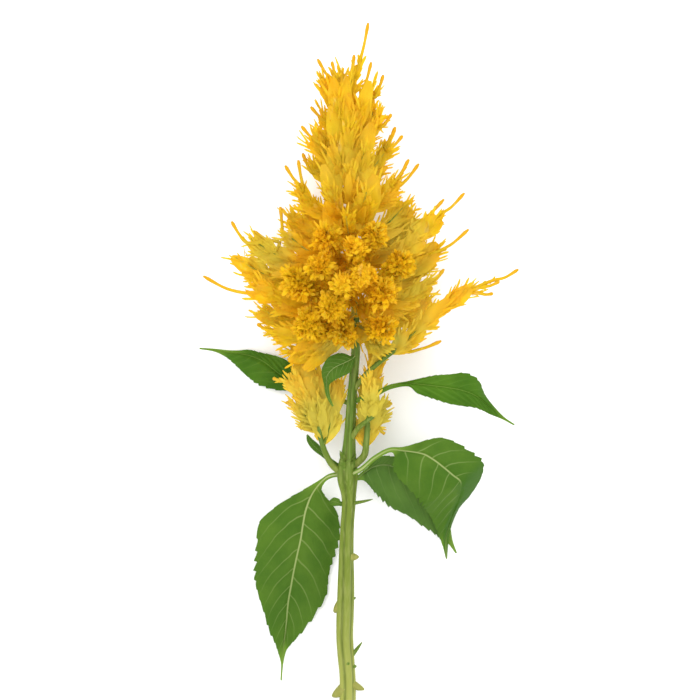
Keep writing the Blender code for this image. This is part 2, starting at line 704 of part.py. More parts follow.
def tepals(spray, count, rng):
    """Centre lines of the larger tepals of a spray, rooted on its own line and fanned to both sides."""
    bones = [vec(p) for p in smooth(spray.route, SPRAY_RINGS + 1)]
    around = frames(bones)
    found = []
    for n in range(count):
        s = 0.22 + 0.72 * (n + 0.5) / count
        k = int(s * SPRAY_RINGS)
        forward, side, up = around[k]
        root = bones[k].lerp(bones[k + 1], s * SPRAY_RINGS - k)
        turn = spray.roll + (0 if n % 2 else math.pi) + rng.gauss(0, 0.55)
        out = side * math.cos(turn) + up * math.sin(turn)
        lean = math.radians(rng.uniform(30, 52) * (1.15 - 0.6 * s))
        direction = forward * math.cos(lean) + out * math.sin(lean)
        length = spray.width * 0.5 / max(0.35, math.sin(lean)) * (1.1 - 0.45 * s) + rng.uniform(3.5, 8)
        middle = root + direction * (length * 0.6)
        tip = root + (direction * 0.93 + forward * 0.16 + Vector((0, 0.06, 0))) * length
        found.append([Vector((p.x, p.y, pressed(p.z, 0.55))) for p in (root, middle, tip)])
    return found


def nearest_on(sprays, point):
    """The nearest point on the outer half of any spray's line."""
    lines = [vec(p) for spray in sprays for p in smooth(spray.route, SPRAY_RINGS + 1)[1:-1]]
    return min(lines, key=lambda p: (p - point).length)


def thread_line(sprays, start, tip):
    root = nearest_on(sprays, start)
    bow = (tip - start).length * 0.08
    middle = start.lerp(tip, 0.5) - Vector((0, bow, 0))
    return [root, start, middle, tip]


def clear(points, radius, obstacles):
    """Whether a line of this radius keeps the gap to every obstacle."""
    fine = [a.lerp(b, t / 4) for a, b in zip(points, points[1:]) for t in range(5)]
    room = (radius + GAP) * MM
    return all(tree.find_nearest(p * MM, room)[0] is None for tree in obstacles for p in fine)


def tree_of(obj):
    mesh = obj.data
    return BVHTree.FromPolygons([v.co for v in mesh.vertices], [tuple(p.vertices) for p in mesh.polygons])


def build_side_sprays(yellow, obstacles, rng):
    """The sprays on the side shoots, each cut clear of the shoot that stands in it."""
    made = []
    for name, plan in SIDE_SPRAYS.items():
        sprays = []
        for route, width in plan["bodies"]:
            sprays.append(Spray([vec(p) for p in route], width, rng.uniform(-0.3, 0.3)))
        shapes = [spray_body(s) for s in sprays]
        obj = add_object(name, shapes[0], yellow)
        parts = shapes[1:]
        for spray in sprays:
            for line in tepals(spray, round(spray.width * 0.9), rng):
                if clear(line[1:], 0.8, obstacles):
                    parts.append(needle(line, (1.25, 0.85), 0.62))
        for tip in plan["threads"]:
            root = nearest_on(sprays, Vector(tip))
            line = [root, root.lerp(Vector(tip), 0.5) + Vector((0, -0.8, 0)), Vector(tip)]
            parts.append(needle(line, (0.8, THREAD_RADIUS), 0.9))
        combine(obj, parts, "UNION", "MANIFOLD")
        combine(obj, stem_room(), "DIFFERENCE", "MANIFOLD")
        made.append(obj)
        obstacles.append(tree_of(obj))
    return made


def core_shape():
    """The middle of the plume, which the sprays stand out of."""
    rings = []
    for y, radius in CORE:
        centre = rachis_at(max(y, 72))
        centre.y = y
        rings.append(round_ring(centre, Vector((1, 0, 0)), Vector((0, 0, -1)), radius, 9, 0.08, 3))
    return loft(rings)


def build_plume(yellow, obstacles):
    rng = random.Random(SEED)
    outline = listed_sprays(OUTLINE_SPRAYS, rng)
    sprays = outline + listed_sprays(FRONT_SPRAYS, rng) + under_sprays(random.Random(UNDER_SEED))
    plume = add_object("plume", core_shape(), yellow)
    parts = []
    for spray in sprays:
        line = [vec(p) for p in smooth(spray.route, 9)]
        if not clear(line[2:], spray.width * 0.4, obstacles):
            spray = spray._replace(width=spray.width * 0.5)
        if not clear(line[2:], spray.width * 0.4, obstacles):
            continue
        parts.append(spray_body(spray))
        for line in tepals(spray, round(spray.width * 0.43), rng):
            if clear(line[1:], 0.9, obstacles):
                parts.append(needle(line, (1.35, 0.95), 0.6))
    for x0, y0, x1, y1, above in THREADS:
        z = rachis_at(max(y1, 72)).z + above
        line = thread_line(outline, Vector((x0, y0, z)), Vector((x1, y1, z)))
        parts.append(needle(line, (0.9, THREAD_RADIUS, THREAD_RADIUS * 1.25), 0.9))
    combine(plume, parts, "UNION", "MANIFOLD")
    combine(plume, stem_room(), "DIFFERENCE", "MANIFOLD")
    corners = [(-200, -200), (200, -200), (200, 300), (-200, 300)]
    table = loft([[Vector((x, y, z)) for x, y in corners] for z in (-30, 0)])
    combine(plume, [table], "DIFFERENCE", "MANIFOLD")
    return plume


def shade(obj):
    """Smooth shading, with an edge kept sharp where its faces meet at a steep angle."""
    obj.data.polygons.foreach_set("use_smooth", [True] * len(obj.data.polygons))
    obj.data.set_sharp_from_angle(angle=SHARP_ANGLE)


def clear_scene():
    for obj in list(bpy.data.objects):
        bpy.data.objects.remove(obj)


def main():
    clear_scene()
    rng = random.Random(SEED)
    stem_green = material("stem_green", (0.36, 0.47, 0.10), 0.45)
    leaf_green = material("leaf_green", (0.09, 0.26, 0.03), 0.5)
    yellow = material("plume_yellow", (0.90, 0.52, 0.02), 0.6)
    stem = build_stem(stem_green)
    leaves = build_leaves(leaf_green)
    obstacles = [tree_of(obj) for obj in (stem, *leaves)]
    sprays = build_side_sprays(yellow, obstacles, rng)
    plume = build_plume(yellow, obstacles)
    holder = bpy.data.objects.new("celosia", None)
    bpy.context.scene.collection.objects.link(holder)
    for obj in (stem, *leaves, *sprays, plume):
        shade(obj)
        obj.parent = holder
    holder.location = (-FOOTPRINT_CENTRE[0] * MM, -FOOTPRINT_CENTRE[1] * MM, 0)


main()
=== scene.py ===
"""Looks of a cut stem of plume celosia, laid on a pale table and seen from above.

Fine pieces take the place of the plain solids and keep their form: both are laid out by the same tables.
Sizes below are millimetres from the node where the lowest large leaves leave the stem.
+Y runs to the tip of the plume, +X to the right seen from above, and the table is z = 0.
"""

import math
import random
from collections import namedtuple

import bpy
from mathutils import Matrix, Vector, noise

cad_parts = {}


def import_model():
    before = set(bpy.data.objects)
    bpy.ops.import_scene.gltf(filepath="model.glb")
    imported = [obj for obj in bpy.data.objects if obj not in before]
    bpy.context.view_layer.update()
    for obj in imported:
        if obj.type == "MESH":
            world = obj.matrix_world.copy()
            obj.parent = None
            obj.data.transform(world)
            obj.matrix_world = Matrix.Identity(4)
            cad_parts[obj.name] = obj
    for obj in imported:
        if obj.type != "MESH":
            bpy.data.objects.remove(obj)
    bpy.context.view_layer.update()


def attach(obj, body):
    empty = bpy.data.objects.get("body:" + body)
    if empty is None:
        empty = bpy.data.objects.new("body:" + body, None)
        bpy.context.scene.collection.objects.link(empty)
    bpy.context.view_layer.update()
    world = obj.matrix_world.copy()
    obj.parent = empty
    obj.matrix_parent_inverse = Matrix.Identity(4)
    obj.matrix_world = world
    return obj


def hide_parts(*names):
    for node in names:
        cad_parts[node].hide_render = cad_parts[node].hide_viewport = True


MM = 0.001
SEED = 20
GOLDEN_ANGLE = math.radians(137.5)
FOOTPRINT_CENTRE = (4.5, 35.3)  # from the leaf node to the middle of the footprint
LOWEST = 0.05  # no point of a fine piece is nearer to the table than this
UP = Vector((0, 0, 1))

# Stem: centre line (x, y, z) and radius, from the cut end to the end inside the plume.
STEM = [
    (-1.0, -145, 4.4, 4.2),
    (-0.4, -112, 8.8, 4.0),
    (-1.9, -90, 11.8, 4.2),
    (-1.4, -69, 14.6, 4.3),
    (-0.9, -39, 18.6, 3.5),
    (0.2, -19, 21.2, 3.5),
    (-0.6, -6, 23.2, 5.2),
    (0.4, 8, 25.0, 3.2),
    (1.7, 31, 28.0, 2.4),
    (3.6, 54, 30.8, 2.2),
    (3.6, 72, 32.9, 1.9),
]
STEM_RIBS = 5
RIB_DEPTH = 0.07
CUT_SLANT = 0.45  # rise of the slanted cut for each millimetre across the stem
STEM_RINGS = 220
STEM_SIDES = 60
STEM_COLOURED = 220  # length from the cut over which the stem's colour turns
COLLAR_SCALES = 14
# The plume's own axis, which carries the stem on.
RACHIS = [(3.6, 72, 32.9), (2.6, 100, 35.8), (0.6, 140, 38.6), (-0.8, 178, 40.3), (5.0, 200, 41.2)]
RACHIS_FOOT, RACHIS_TIP = RACHIS[0][1], RACHIS[-1][1]

# Side shoots of the stem that carry the lower sprays: route (x, y, z) and end radii.
SHOOTS = {
    "left": (
        [(-1.0, -7, 23.2), (-7.5, -2, 25.2), (-11.2, 4.5, 26.8), (-13.6, 12, 27.8), (-14.4, 18, 28.2)],
        1.8,
        1.1,
    ),
    "right": ([(1, -3, 23.6), (7.8, 3, 27.0), (9.2, 11, 28.6), (9.8, 20, 29.0)], 2.0, 1.3),
    "front": ([(1.0, 11, 25.4), (5.0, 17, 31.0), (9.0, 20.5, 35.0), (12.5, 23, 37.0)], 1.5, 1.0),
    "long": ([(2.6, 36, 28.7), (9, 44, 31.5), (17, 51, 34.0), (25, 57, 35.6)], 1.4, 1.0),
}

# What is left of lower leaves and buds on the stem: place along it, angle round it, length, radius, lean.
STUBS = [
    (-47.0, 5, 6.6, 2.0, -0.12),
    (-70.0, 182, 8.4, 2.6, -1.1),
    (-71.0, 0, 5.6, 1.0, 0.25),
    (-101.5, 8, 12.5, 1.0, 1.15),
    (-104.0, 8, 5.2, 1.5, -0.1),
    (-111.0, -4, 9.8, 1.9, -0.55),
    (-113.0, 176, 9.6, 2.5, -0.75),
    (-20.5, 8, 12.4, 0.75, 0.12),
    (-104.0, 78, 5.0, 1.8, 0.4),
    (-60.0, 268, 4.8, 1.8, 0.3),
]

# Leaves: one row for each place along the midrib, from the stem out. A row holds x, y, z of the midrib,
# then of the left and of the right margin, seen from the stem. Stalks and tips have the midrib's alone.
LEAVES = {
    "leaf_lower_left": [
        (0.0, -5.5, 23.0),
        (-8.5, -7.0, 21.2),
        (-13.0, -9.8, 18.6, -12.0, -11.0, 18.4, -14.6, -9.4, 18.4),
        (-18.0, -16.5, 14.4, -12.8, -15.5, 13.0, -22.8, -14.6, 13.0),
        (-21.2, -24.5, 11.2, -6.5, -24.0, 8.4, -35.0, -22.0, 10.0),
        (-22.8, -32.5, 8.6, -4.3, -32.0, 5.4, -44.8, -31.0, 8.0),
        (-24.0, -40.0, 6.6, -4.5, -40.5, 3.6, -46.2, -41.5, 6.2),
        (-25.8, -48.0, 5.0, -7.0, -48.5, 3.0, -47.2, -51.5, 4.6),
        (-27.5, -56.0, 3.9, -9.8, -58.0, 2.4, -47.2, -60.5, 3.2),
        (-29.0, -64.0, 3.2, -11.0, -68.5, 2.0, -45.2, -69.5, 2.2),
        (-30.4, -72.0, 2.8, -16.6, -78.0, 1.8, -42.5, -78.0, 1.8),
        (-31.1, -80.0, 2.6, -23.2, -87.0, 1.8, -40.2, -86.0, 1.8),
        (-31.8, -87.5, 2.6, -29.0, -93.5, 2.2, -37.4, -92.0, 2.0),
        (-32.8, -95.0, 2.6, -31.4, -97.0, 2.4, -35.4, -98.0, 2.4),
        (-33.5, -103.0, 1.8, -32.9, -103.5, 1.8, -34.1, -103.5, 1.8),
        (-34.0, -112.0, 1.0),
    ],
    "leaf_lower_right": [
        (0.5, -6.5, 25.0),
        (6.5, -3.4, 30.0),
        (13.5, 2.6, 34.4),
        (20.5, 6.4, 36.8),
        (26.5, 6.2, 37.6, 28.0, 8.2, 37.2, 23.0, 3.2, 35.5),
        (36.5, 4.7, 38.2, 38.8, 11.4, 37.0, 22.2, -2.0, 33.5),
        (41.8, 2.1, 38.0, 46.0, 12.6, 36.6, 25.5, -8.0, 31.5),
        (46.9, -1.7, 37.2, 53.5, 10.2, 35.0, 29.5, -12.0, 30.0),
        (52.0, -6.0, 35.6, 60.8, 5.6, 32.5, 33.5, -16.8, 28.0),
        (56.1, -9.6, 33.2, 67.2, 0.4, 29.0, 36.5, -20.5, 26.0),
        (56.0, -15.0, 27.5, 66.8, -7.4, 23.5, 38.5, -23.5, 23.5),
        (54.4, -21.0, 21.5, 61.5, -16.8, 18.5, 41.3, -27.5, 19.5),
        (52.4, -27.5, 16.0, 56.2, -23.4, 14.6, 43.8, -32.5, 15.0),
        (50.4, -34.0, 11.8, 52.6, -31.8, 11.0, 45.8, -37.5, 11.0),
        (49.4, -41.0, 8.0, 50.9, -40.0, 7.8, 47.8, -43.0, 7.8),
        (50.0, -50.0, 4.0),
    ],
    "leaf_lower_right_behind": [
        (0.0, -9.5, 21.8),
        (4.6, -8.2, 22.4),
        (8.4, -5.2, 23.2, 9.2, -3.2, 23.2, 8.2, -9.6, 22.4),
        (13.4, -2.2, 23.8, 15.6, 2.4, 23.8, 11.0, -12.4, 20.5),
        (20.0, -1.6, 23.4, 21.4, 3.0, 23.6, 14.5, -16.8, 18.0),
        (27.0, -4.5, 22.0, 30.0, 1.0, 21.0, 21.0, -22.8, 15.0),
        (34.0, -9.5, 19.5, 39.0, -4.0, 18.5, 30.0, -27.4, 12.0),
        (40.0, -17.0, 16.0, 46.0, -13.0, 15.0, 38.0, -33.2, 9.0),
        (45.0, -25.5, 12.0, 50.0, -22.0, 11.0, 44.4, -37.4, 7.0),
        (49.0, -34.0, 8.0, 51.5, -31.0, 7.6, 47.8, -41.0, 5.0),
        (52.0, -41.0, 5.0, 52.9, -40.0, 5.0, 51.0, -42.5, 4.4),
        (55.0, -47.2, 3.0),
    ],
    "leaf_upper_right": [
        (1.7, 30.0, 27.8),
        (13.5, 34.0, 28.4),
        (21.0, 37.6, 29.6),
        (28.0, 39.6, 31.0, 30.0, 40.6, 31.0, 30.0, 37.8, 31.0),
        (33.0, 39.3, 31.6, 36.0, 42.0, 31.4, 34.5, 34.4, 30.6),
        (41.0, 38.4, 32.0, 43.0, 43.4, 31.4, 41.5, 32.0, 29.8),
        (49.0, 37.4, 32.0, 51.0, 44.0, 30.4, 49.2, 29.5, 28.6),
        (56.5, 36.0, 31.0, 58.5, 44.6, 28.6, 57.0, 28.0, 27.2),
        (62.5, 33.8, 29.2, 65.0, 41.2, 26.2, 63.0, 27.2, 25.6),
        (67.0, 30.8, 27.0, 68.3, 34.2, 24.8, 67.5, 25.6, 23.8),
        (71.5, 27.2, 24.6, 71.7, 29.4, 23.8, 71.0, 23.8, 22.8),
        (77.5, 22.2, 21.6, 77.8, 22.9, 21.4, 77.2, 21.3, 21.4),
        (83.5, 18.4, 19.0),
    ],
    "leaf_upper_left": [
        (1.6, 29.0, 27.6),
        (-5.0, 31.4, 20.4),
        (-13.5, 34.8, 10.8),
        (-22.0, 37.0, 7.0, -20.0, 33.0, 6.5, -24.0, 43.0, 6.5),
        (-28.0, 39.5, 5.0, -28.0, 35.2, 4.6, -30.0, 50.0, 4.4),
        (-35.0, 44.0, 4.2, -36.0, 35.6, 3.6, -36.5, 53.0, 3.6),
        (-42.5, 50.0, 3.8, -44.8, 38.2, 3.0, -44.5, 54.8, 3.4),
        (-49.0, 53.0, 3.6, -51.2, 42.6, 2.8, -50.2, 56.2, 3.4),
        (-55.0, 54.2, 3.4, -57.6, 48.8, 2.6, -56.0, 55.8, 3.2),
        (-61.5, 54.8, 3.0, -62.0, 52.4, 2.6, -61.5, 56.0, 3.0),
        (-68.0, 56.0, 2.4, -68.0, 55.2, 2.2, -68.0, 56.7, 2.4),
        (-75.5, 56.8, 1.6),
    ],
    "leaf_small_plume": [
        (3.4, 54.0, 30.8),
        (2.6, 52.0, 34.4),
        (-1.0, 50.0, 36.6, 1.5, 45.5, 36.2, -3.0, 54.5, 36.2),
        (-6.5, 47.4, 37.6, -2.5, 43.0, 37.2, -9.5, 52.5, 37.0),
        (-10.2, 43.5, 37.2, -6.4, 41.0, 36.8, -13.0, 46.0, 36.8),
        (-10.6, 38.5, 36.0, -9.2, 38.5, 35.9, -12.0, 39.0, 35.9),
        (-9.8, 33.0, 34.4, -8.8, 33.0, 34.4, -10.8, 33.0, 34.4),
        (-7.5, 28.0, 33.0),
    ],
    "leaf_small_left": [
        (-2.0, -4.0, 20.6),
        (-8.6, 0.4, 20.4),
        (-12.0, 3.5, 21.2, -13.2, 2.6, 21.0, -11.3, 5.0, 21.0),
        (-16.0, 7.0, 22.0, -17.8, 6.2, 21.7, -14.8, 8.8, 21.7),
        (-19.0, 10.5, 22.2, -20.4, 10.0, 22.1, -17.8, 11.4, 22.1),
        (-20.5, 13.6, 22.0),
    ],
    "leaf_small_node": [
        (0.2, -20.5, 21.2),
        (-3.4, -21.0, 22.0),
        (-5.0, -20.4, 22.2, -4.6, -22.0, 22.1, -4.4, -18.6, 22.1),
        (-7.0, -20.0, 21.8, -7.0, -22.2, 21.6, -6.8, -17.8, 21.6),
        (-8.6, -20.2, 21.0, -8.8, -21.6, 20.9, -8.6, -18.8, 20.9),
        (-9.4, -20.4, 20.6),
    ],
}

# Sprays of the plume that its outline shows: height on the rachis, then x, y of the spray's tip,
# how far the tip lies above the rachis, and the width of the spray.
OUTLINE_SPRAYS = [
    (176, 5.4, 196, 0, 5.5),
    (166, -12.0, 189, 2, 7),
    (164, 12.5, 186, -2, 7),
    (152, -13.0, 175, -4, 7),
    (150, 15.5, 172, 3, 7.5),
    (140, -16.0, 162, 3, 7.5),
    (137, 20.5, 157, -3, 9),
    (128, -17.5, 149, -4, 8),
    (123, 25.0, 141, 4, 10),
    (117, -24.5, 136, 5, 10),
    (108, 29.0, 129, -5, 11),
    (106, -29.0, 123, -3, 11),
    (98, 45.5, 122, 4, 12),
    (97, -48.0, 111, 5, 12),
    (88, 45.5, 107, -6, 14),
    (99, -30.0, 113, 7, 10),
    (89, -56.0, 102, -5, 13),
    (80, 40.0, 89, 5, 12),
    (81, -48.0, 88, 6, 13),
    (74, -43.0, 76, -6, 11),
    (74, 31.0, 74, -5, 10),
    (69, -36.0, 65, 3, 11),
    (67, -29.0, 55, -2, 10),
    (68, 17.0, 57, 12, 9),
]
# Shorter sprays that face up and fill the middle, in the same terms.
FRONT_SPRAYS = [
    (70, -22, 70, 24, 10),
    (70, 19, 68, 23, 10),
    (71, -3, 64, 22, 9),
    (74, -9, 79, 35, 9),
    (79, 18, 86, 31, 10),
    (82, -27, 92, 23, 11),
    (84, -3, 89, 39, 8),
    (87, 8, 94, 37, 8),
    (91, -15, 99, 31, 9),
    (90, 28, 100, 20, 10),
    (97, 4, 107, 34, 8),
    (99, -12, 113, 26, 9),
    (104, 14, 114, 26, 9),
    (109, -1, 121, 27, 8),
    (112, 9, 133, 19, 9),
    (115, -9, 136, 18, 9),
    (121, 1, 145, 17, 9),
    (130, 8, 154, 13, 8),
    (134, -7, 158, 12, 8),
    (141, 1, 166, 11, 8),
    (152, 7, 175, 7, 7),
    (155, -5, 179, 7, 7),
]
# Sprays under the plume, placed by a rule: rows of (height, rise of a spray) and (height, reach).
UNDER_SPRAYS = 11
UNDER_SEED = 5
UNDER_FROM, UNDER_TO = 75, 168
RISE = [(60, -7), (66, -2), (74, 6), (86, 14), (100, 19), (125, 23), (150, 27), (170, 26)]
REACH = [
    (48, 24),
    (60, 37),
    (75, 44),
    (90, 46),
    (105, 44),
    (116, 38),
    (128, 30),
    (145, 24),
    (165, 18),
    (185, 11),
]
PRESSED_REACH = 1.2  # the longest of them bend and lie along the table

# Long threads that stand out of the outline: x, y at the plume, then at the tip, z above the rachis.
THREADS = [
    (6.0, 199, 10.0, 217.5, 1),
    (-7.0, 188, -15.0, 199.5, 2),
    (-5.5, 190, -8.0, 198.5, 0),
    (2.0, 190, 3.0, 201.5, 3),
    (7.0, 183, 11.5, 198.0, 2),
    (-9.0, 168, -18.5, 176.5, -3),
    (-14.0, 158, -23.0, 166.5, 3),
    (-18.0, 144, -22.5, 153.5, -3),
    (-22.5, 136, -31.0, 147.0, 4),
    (-22.0, 136, -24.5, 149.5, 6),
    (-32.0, 113, -33.5, 127.0, -2),
    (-50.0, 109, -57.5, 119.5, 5),
    (-34.0, 109, -47.0, 115.0, 1),
    (-48.0, 84, -71.5, 92.5, 6),
    (-39.0, 66, -45.0, 69.0, 2),
    (13.5, 181, 17.5, 192.0, -1),
    (16.0, 166, 21.5, 172.5, 2),
    (18.5, 157, 23.5, 166.5, -3),
    (20.0, 155, 27.0, 162.0, 1),
    (22.0, 138, 30.0, 150.0, 4),
    (24.0, 136, 35.0, 148.0, 2),
    (31.0, 117, 47.5, 130.5, 3),
    (44.0, 122, 57.5, 133.5, 4),
    (42.0, 104, 60.0, 116.0, -5),
    (38.0, 86, 47.5, 96.0, 4),
    (27.0, 56, 46.5, 60.5, -3),
]

# Sprays on the side shoots: routes of each body (x, y, z) and its width, and threads' tips.
SIDE_SPRAYS = {
    "spray_left_low": {
        "bodies": [
            ([(-11.4, 4, 26.2), (-15.0, 20, 28.2), (-19.5, 36, 25.6), (-21.5, 51, 19.6)], 13),
            ([(-13.6, 17, 28.0), (-19.5, 22, 27.0), (-25.5, 28, 25.0)], 7),
            ([(-14.6, 24, 28.4), (-22.5, 33, 28.4), (-28.5, 41, 28.0)], 8),
            ([(-12.0, 9, 27.6), (-8.8, 19, 27.4), (-7.8, 30, 27.2), (-8.5, 44, 24.0)], 11),
            ([(-13.6, 16, 28.0), (-14.0, 29, 26.0), (-14.4, 43, 20.6)], 9),
            ([(-14.0, 14, 28.0), (-18.0, 17, 25.5), (-22.6, 21, 24.5)], 5),
        ],
        "threads": [(-37.5, 42, 28), (-31.0, 30, 24), (-24.0, 16.5, 25)],
    },
    "spray_right_low": {
        "bodies": [
            ([(9.4, 8, 28.0), (9.8, 19, 26.5), (10.6, 30, 23.5), (12.5, 42, 20.5)], 13),
            ([(9.6, 15, 28.6), (14.0, 20, 23.0), (17.5, 28, 18.6)], 6),
            ([(11.5, 36, 22.0), (13.5, 47, 21.0), (15.5, 58, 19.0)], 9),
            ([(8.8, 6, 27.6), (6.6, 11, 26.5), (5.6, 18, 25.0)], 5),
        ],
        "threads": [(22.0, 29.5, 18), (18.5, 14.0, 24)],
    },
    "spray_front_low": {
        "bodies": [([(9.0, 20.5, 35.0), (10.5, 26, 37.4), (11.0, 33, 38.6), (10.0, 40, 38.4)], 8)],
        "threads": [],
    },
    "spray_right_long": {
        "bodies": [
            ([(17.5, 51.4, 34.0), (31, 63.0, 36.6), (46, 76, 38.2), (61, 87.0, 37.6)], 11),
            ([(9.5, 44.6, 31.8), (13.0, 49, 32.2), (16.0, 54, 31.5)], 6),
        ],
        "threads": [(84.5, 96.0, 36), (75.0, 90.0, 39), (72.0, 84.0, 36)],
    },
}

# Widths along small sheets and a stub, and radii along a thread, which ends in a small club.
TEPAL = (0.4, 1.0, 0.8, 0.0)
FINGER = (1.0, 0.8, 0.7, 0.75, 0.3)
CRINKLE = (0.5, 0.9, 1.0, 0.5)
MEMBRANE = [(0, 0.25), (0.3, 0.75), (0.6, 1.0), (0.85, 0.7), (1.0, 0.3)]
STUB_PROFILE = (1.3, 1.3, 1.25, 1.15, 1.0, 0.85, 0.6, 0.25)
THREAD_RADII = [1.0 - 0.025 * i for i in range(12)] + [0.76, 0.88, 0.95, 0.5]
MEMBRANE_COLUMNS = 7
MEMBRANE_ROWS = 11
SPIRE_ROWS = 13
SPRAY_POINTS = 13  # along the line of a spray
END_FINGERS = 5

# Where the plume is more olive, or more orange: x, y, radius, how much.
OLIVE_PATCHES = [
    (30, 74, 17, 0.2),
    (24, 112, 22, 0.32),
    (32, 90, 20, 0.28),
    (-38, 104, 18, 0.32),
    (0, 146, 26, 0.2),
    (18, 62, 16, 0.4),
    (-4, 56, 14, 0.4),
    (12, 26, 20, 0.36),
    (-12, 22, 20, 0.36),
]
ORANGE_PATCHES = [
    (-18, 104, 18, 0.9),
    (4, 86, 16, 0.9),
    (-22, 78, 16, 0.5),
    (14, 74, 14, 0.8),
    (-6, 126, 12, 0.5),
    (48, 74, 20, 0.8),
]

ROSETTES_UP_TO = 116  # front sprays whose tips are higher have none
ROSETTES = [(9, 0.5), (12, 0.76)]  # step along a spray, and radius as a share of its width
SPIRE_SHEETS = 14  # smooth sheets that start between these heights and stop below SPIRE_END
SPIRE_FROM, SPIRE_TO = 104, 168
SPIRE_END = 190

KNOB_RADIUS = 1.9  # stubs as thick as this are brown knobs
SMALL_LEAF = 7  # widest half width of a leaf that needs few faces
LEAF_CELLS = (170, 18)  # rows along a leaf, and columns on each side of its midrib
SMALL_LEAF_CELLS = (50, 6)
LEFT_TEETH, RIGHT_TEETH = 26, 24
MIDRIB_END = 0.93  # share of the leaf's length
HANGING_SIDE_PAINTED_SHADE = {"leaf_lower_right": 0.56}  # from this share on, the left side hangs away from the light, and shade is painted on it
VEIN_PAIRS = 13
VEIN_SLOPE = 0.2  # how far a side vein runs towards the tip, as a share of the leaf's length
STALK_HALF = 1.2  # half width of a leaf's stalk
TIP_HALF = 0.4

# Colours, linear.
PLUME_GOLD = (0.72, 0.50, 0.008)
PLUME_ORANGE = (0.86, 0.48, 0.005)
PLUME_BRIGHT = (0.80, 0.60, 0.03)
# Painted light: pale streaks for the white floor's light that shines through the thin sheets.
PLUME_PAINTED_SHINE_THROUGH = (0.78, 0.68, 0.34)
PLUME_OLIVE = (0.62, 0.52, 0.06)
# Painted shade: the orange of the plume's shaded inside, near the root of each spray.
PLUME_PAINTED_INNER_SHADE = (0.84, 0.42, 0.003)
# Painted light: a brighter yellow that lifts the rosettes out of the shade of their crinkles.
PLUME_FLUFF_PAINTED_LIGHT = (0.90, 0.64, 0.01)
# Painted shade: dark brown for the shadows in the crevices between strands.
PLUME_PAINTED_CREVICE_SHADE = (0.46, 0.22, 0.002)
PLUME_TIP = (0.74, 0.39, 0.012)
PLUME_GREEN = (0.14, 0.23, 0.018)
LOW_GOLD = (0.74, 0.55, 0.044)
LOW_ORANGE = (0.76, 0.45, 0.014)
LEAF_FACE = (0.072, 0.150, 0.012)
LEAF_DARK = (0.046, 0.116, 0.007)
LEAF_VEIN = (0.40, 0.46, 0.18)
# Painted shade for the side of a leaf that hangs away from the light.
LEAF_PAINTED_SHADE = (0.035, 0.105, 0.007)
UPPER_FACE = (0.066, 0.160, 0.008)
UPPER_DARK = (0.040, 0.115, 0.005)
UPPER_VEIN = (0.16, 0.26, 0.04)
BEHIND_FACE = (0.074, 0.150, 0.022)
BEHIND_DARK = (0.052, 0.118, 0.015)
BEHIND_VEIN = (0.18, 0.25, 0.08)
STALK_GREEN = (0.15, 0.26, 0.026)
STEM_LOW = (0.27, 0.29, 0.057)
STEM_MIDDLE = (0.12, 0.17, 0.014)
STEM_HIGH = (0.075, 0.14, 0.008)
STEM_GROOVE = (0.055, 0.085, 0.005)
STEM_PALE = (0.33, 0.35, 0.11)
STUB_BROWN = (0.26, 0.25, 0.055)

# Stage, in metres. The lamps are rows of name, place, size and power.
VIEW_CENTRE = (1.0, 56.0)  # in millimetres from the leaf node, seen from straight above
CAMERA_HEIGHT = 1.4
LENS_MM = 141.5
SENSOR_MM = 36
FLOOR_SIZE = 6
FLOOR_WHITE = 0.98
WORLD_LIGHT = 1.2
LIGHTS = [
    ("key", (-0.5, 0.5, 1.7), 1.8, 17),
    ("fill", (1.0, -0.4, 1.6), 1.6, 12.5),
]

Spray = namedtuple("Spray", "route width roll")


def vec(point):
    return Vector(point[:3])


def clamped(value):
    return min(1.0, max(0.0, value))


def between(rows, at):
    """The value at a place, from rows of (place, value)."""
    for (a, va), (b, vb) in zip(rows, rows[1:]):
        if at <= b:
            return va + (vb - va) * max(0.0, at - a) / (b - a)
    return rows[-1][1]


def smooth(rows, count):
    """Points on the Catmull-Rom curve through the rows, evenly spaced by row."""
    rows = [tuple(r) for r in rows]
    rows = [tuple(2 * a - b for a, b in zip(rows[0], rows[1])), *rows]
    rows.append(tuple(2 * a - b for a, b in zip(rows[-1], rows[-2])))
    out = []
    for i in range(count):
        s = i / (count - 1) * (len(rows) - 3)
        k = min(int(s), len(rows) - 4)
        t = s - k
        out.append(tuple(
            0.5 * (2 * b + (c - a) * t + (2 * a - 5 * b + 4 * c - d) * t**2 + (3 * b - 3 * c + d - a) * t**3)
            for a, b, c, d in zip(*rows[k:k + 4])
        ))
    return out


def tangents(points):
    last = len(points) - 1
    return [(points[min(i + 1, last)] - points[max(i - 1, 0)]).normalized() for i in range(last + 1)]


def frames(points):
    """For each point of a route: its direction, and two directions across it."""
    found = []
    for forward in tangents(points):
        side = forward.cross(UP)
        if side.length < 0.1:
            side = forward.cross(Vector((1, 0, 0)))
        side.normalize()
        found.append((forward, side, side.cross(forward)))
    return found


def pressed(z, low):
    """A height that would be under the table is pressed up to just over it, softly."""
    soft = 1.2
    return low + soft * math.log1p(math.exp(min((z - low) / soft, 60)))


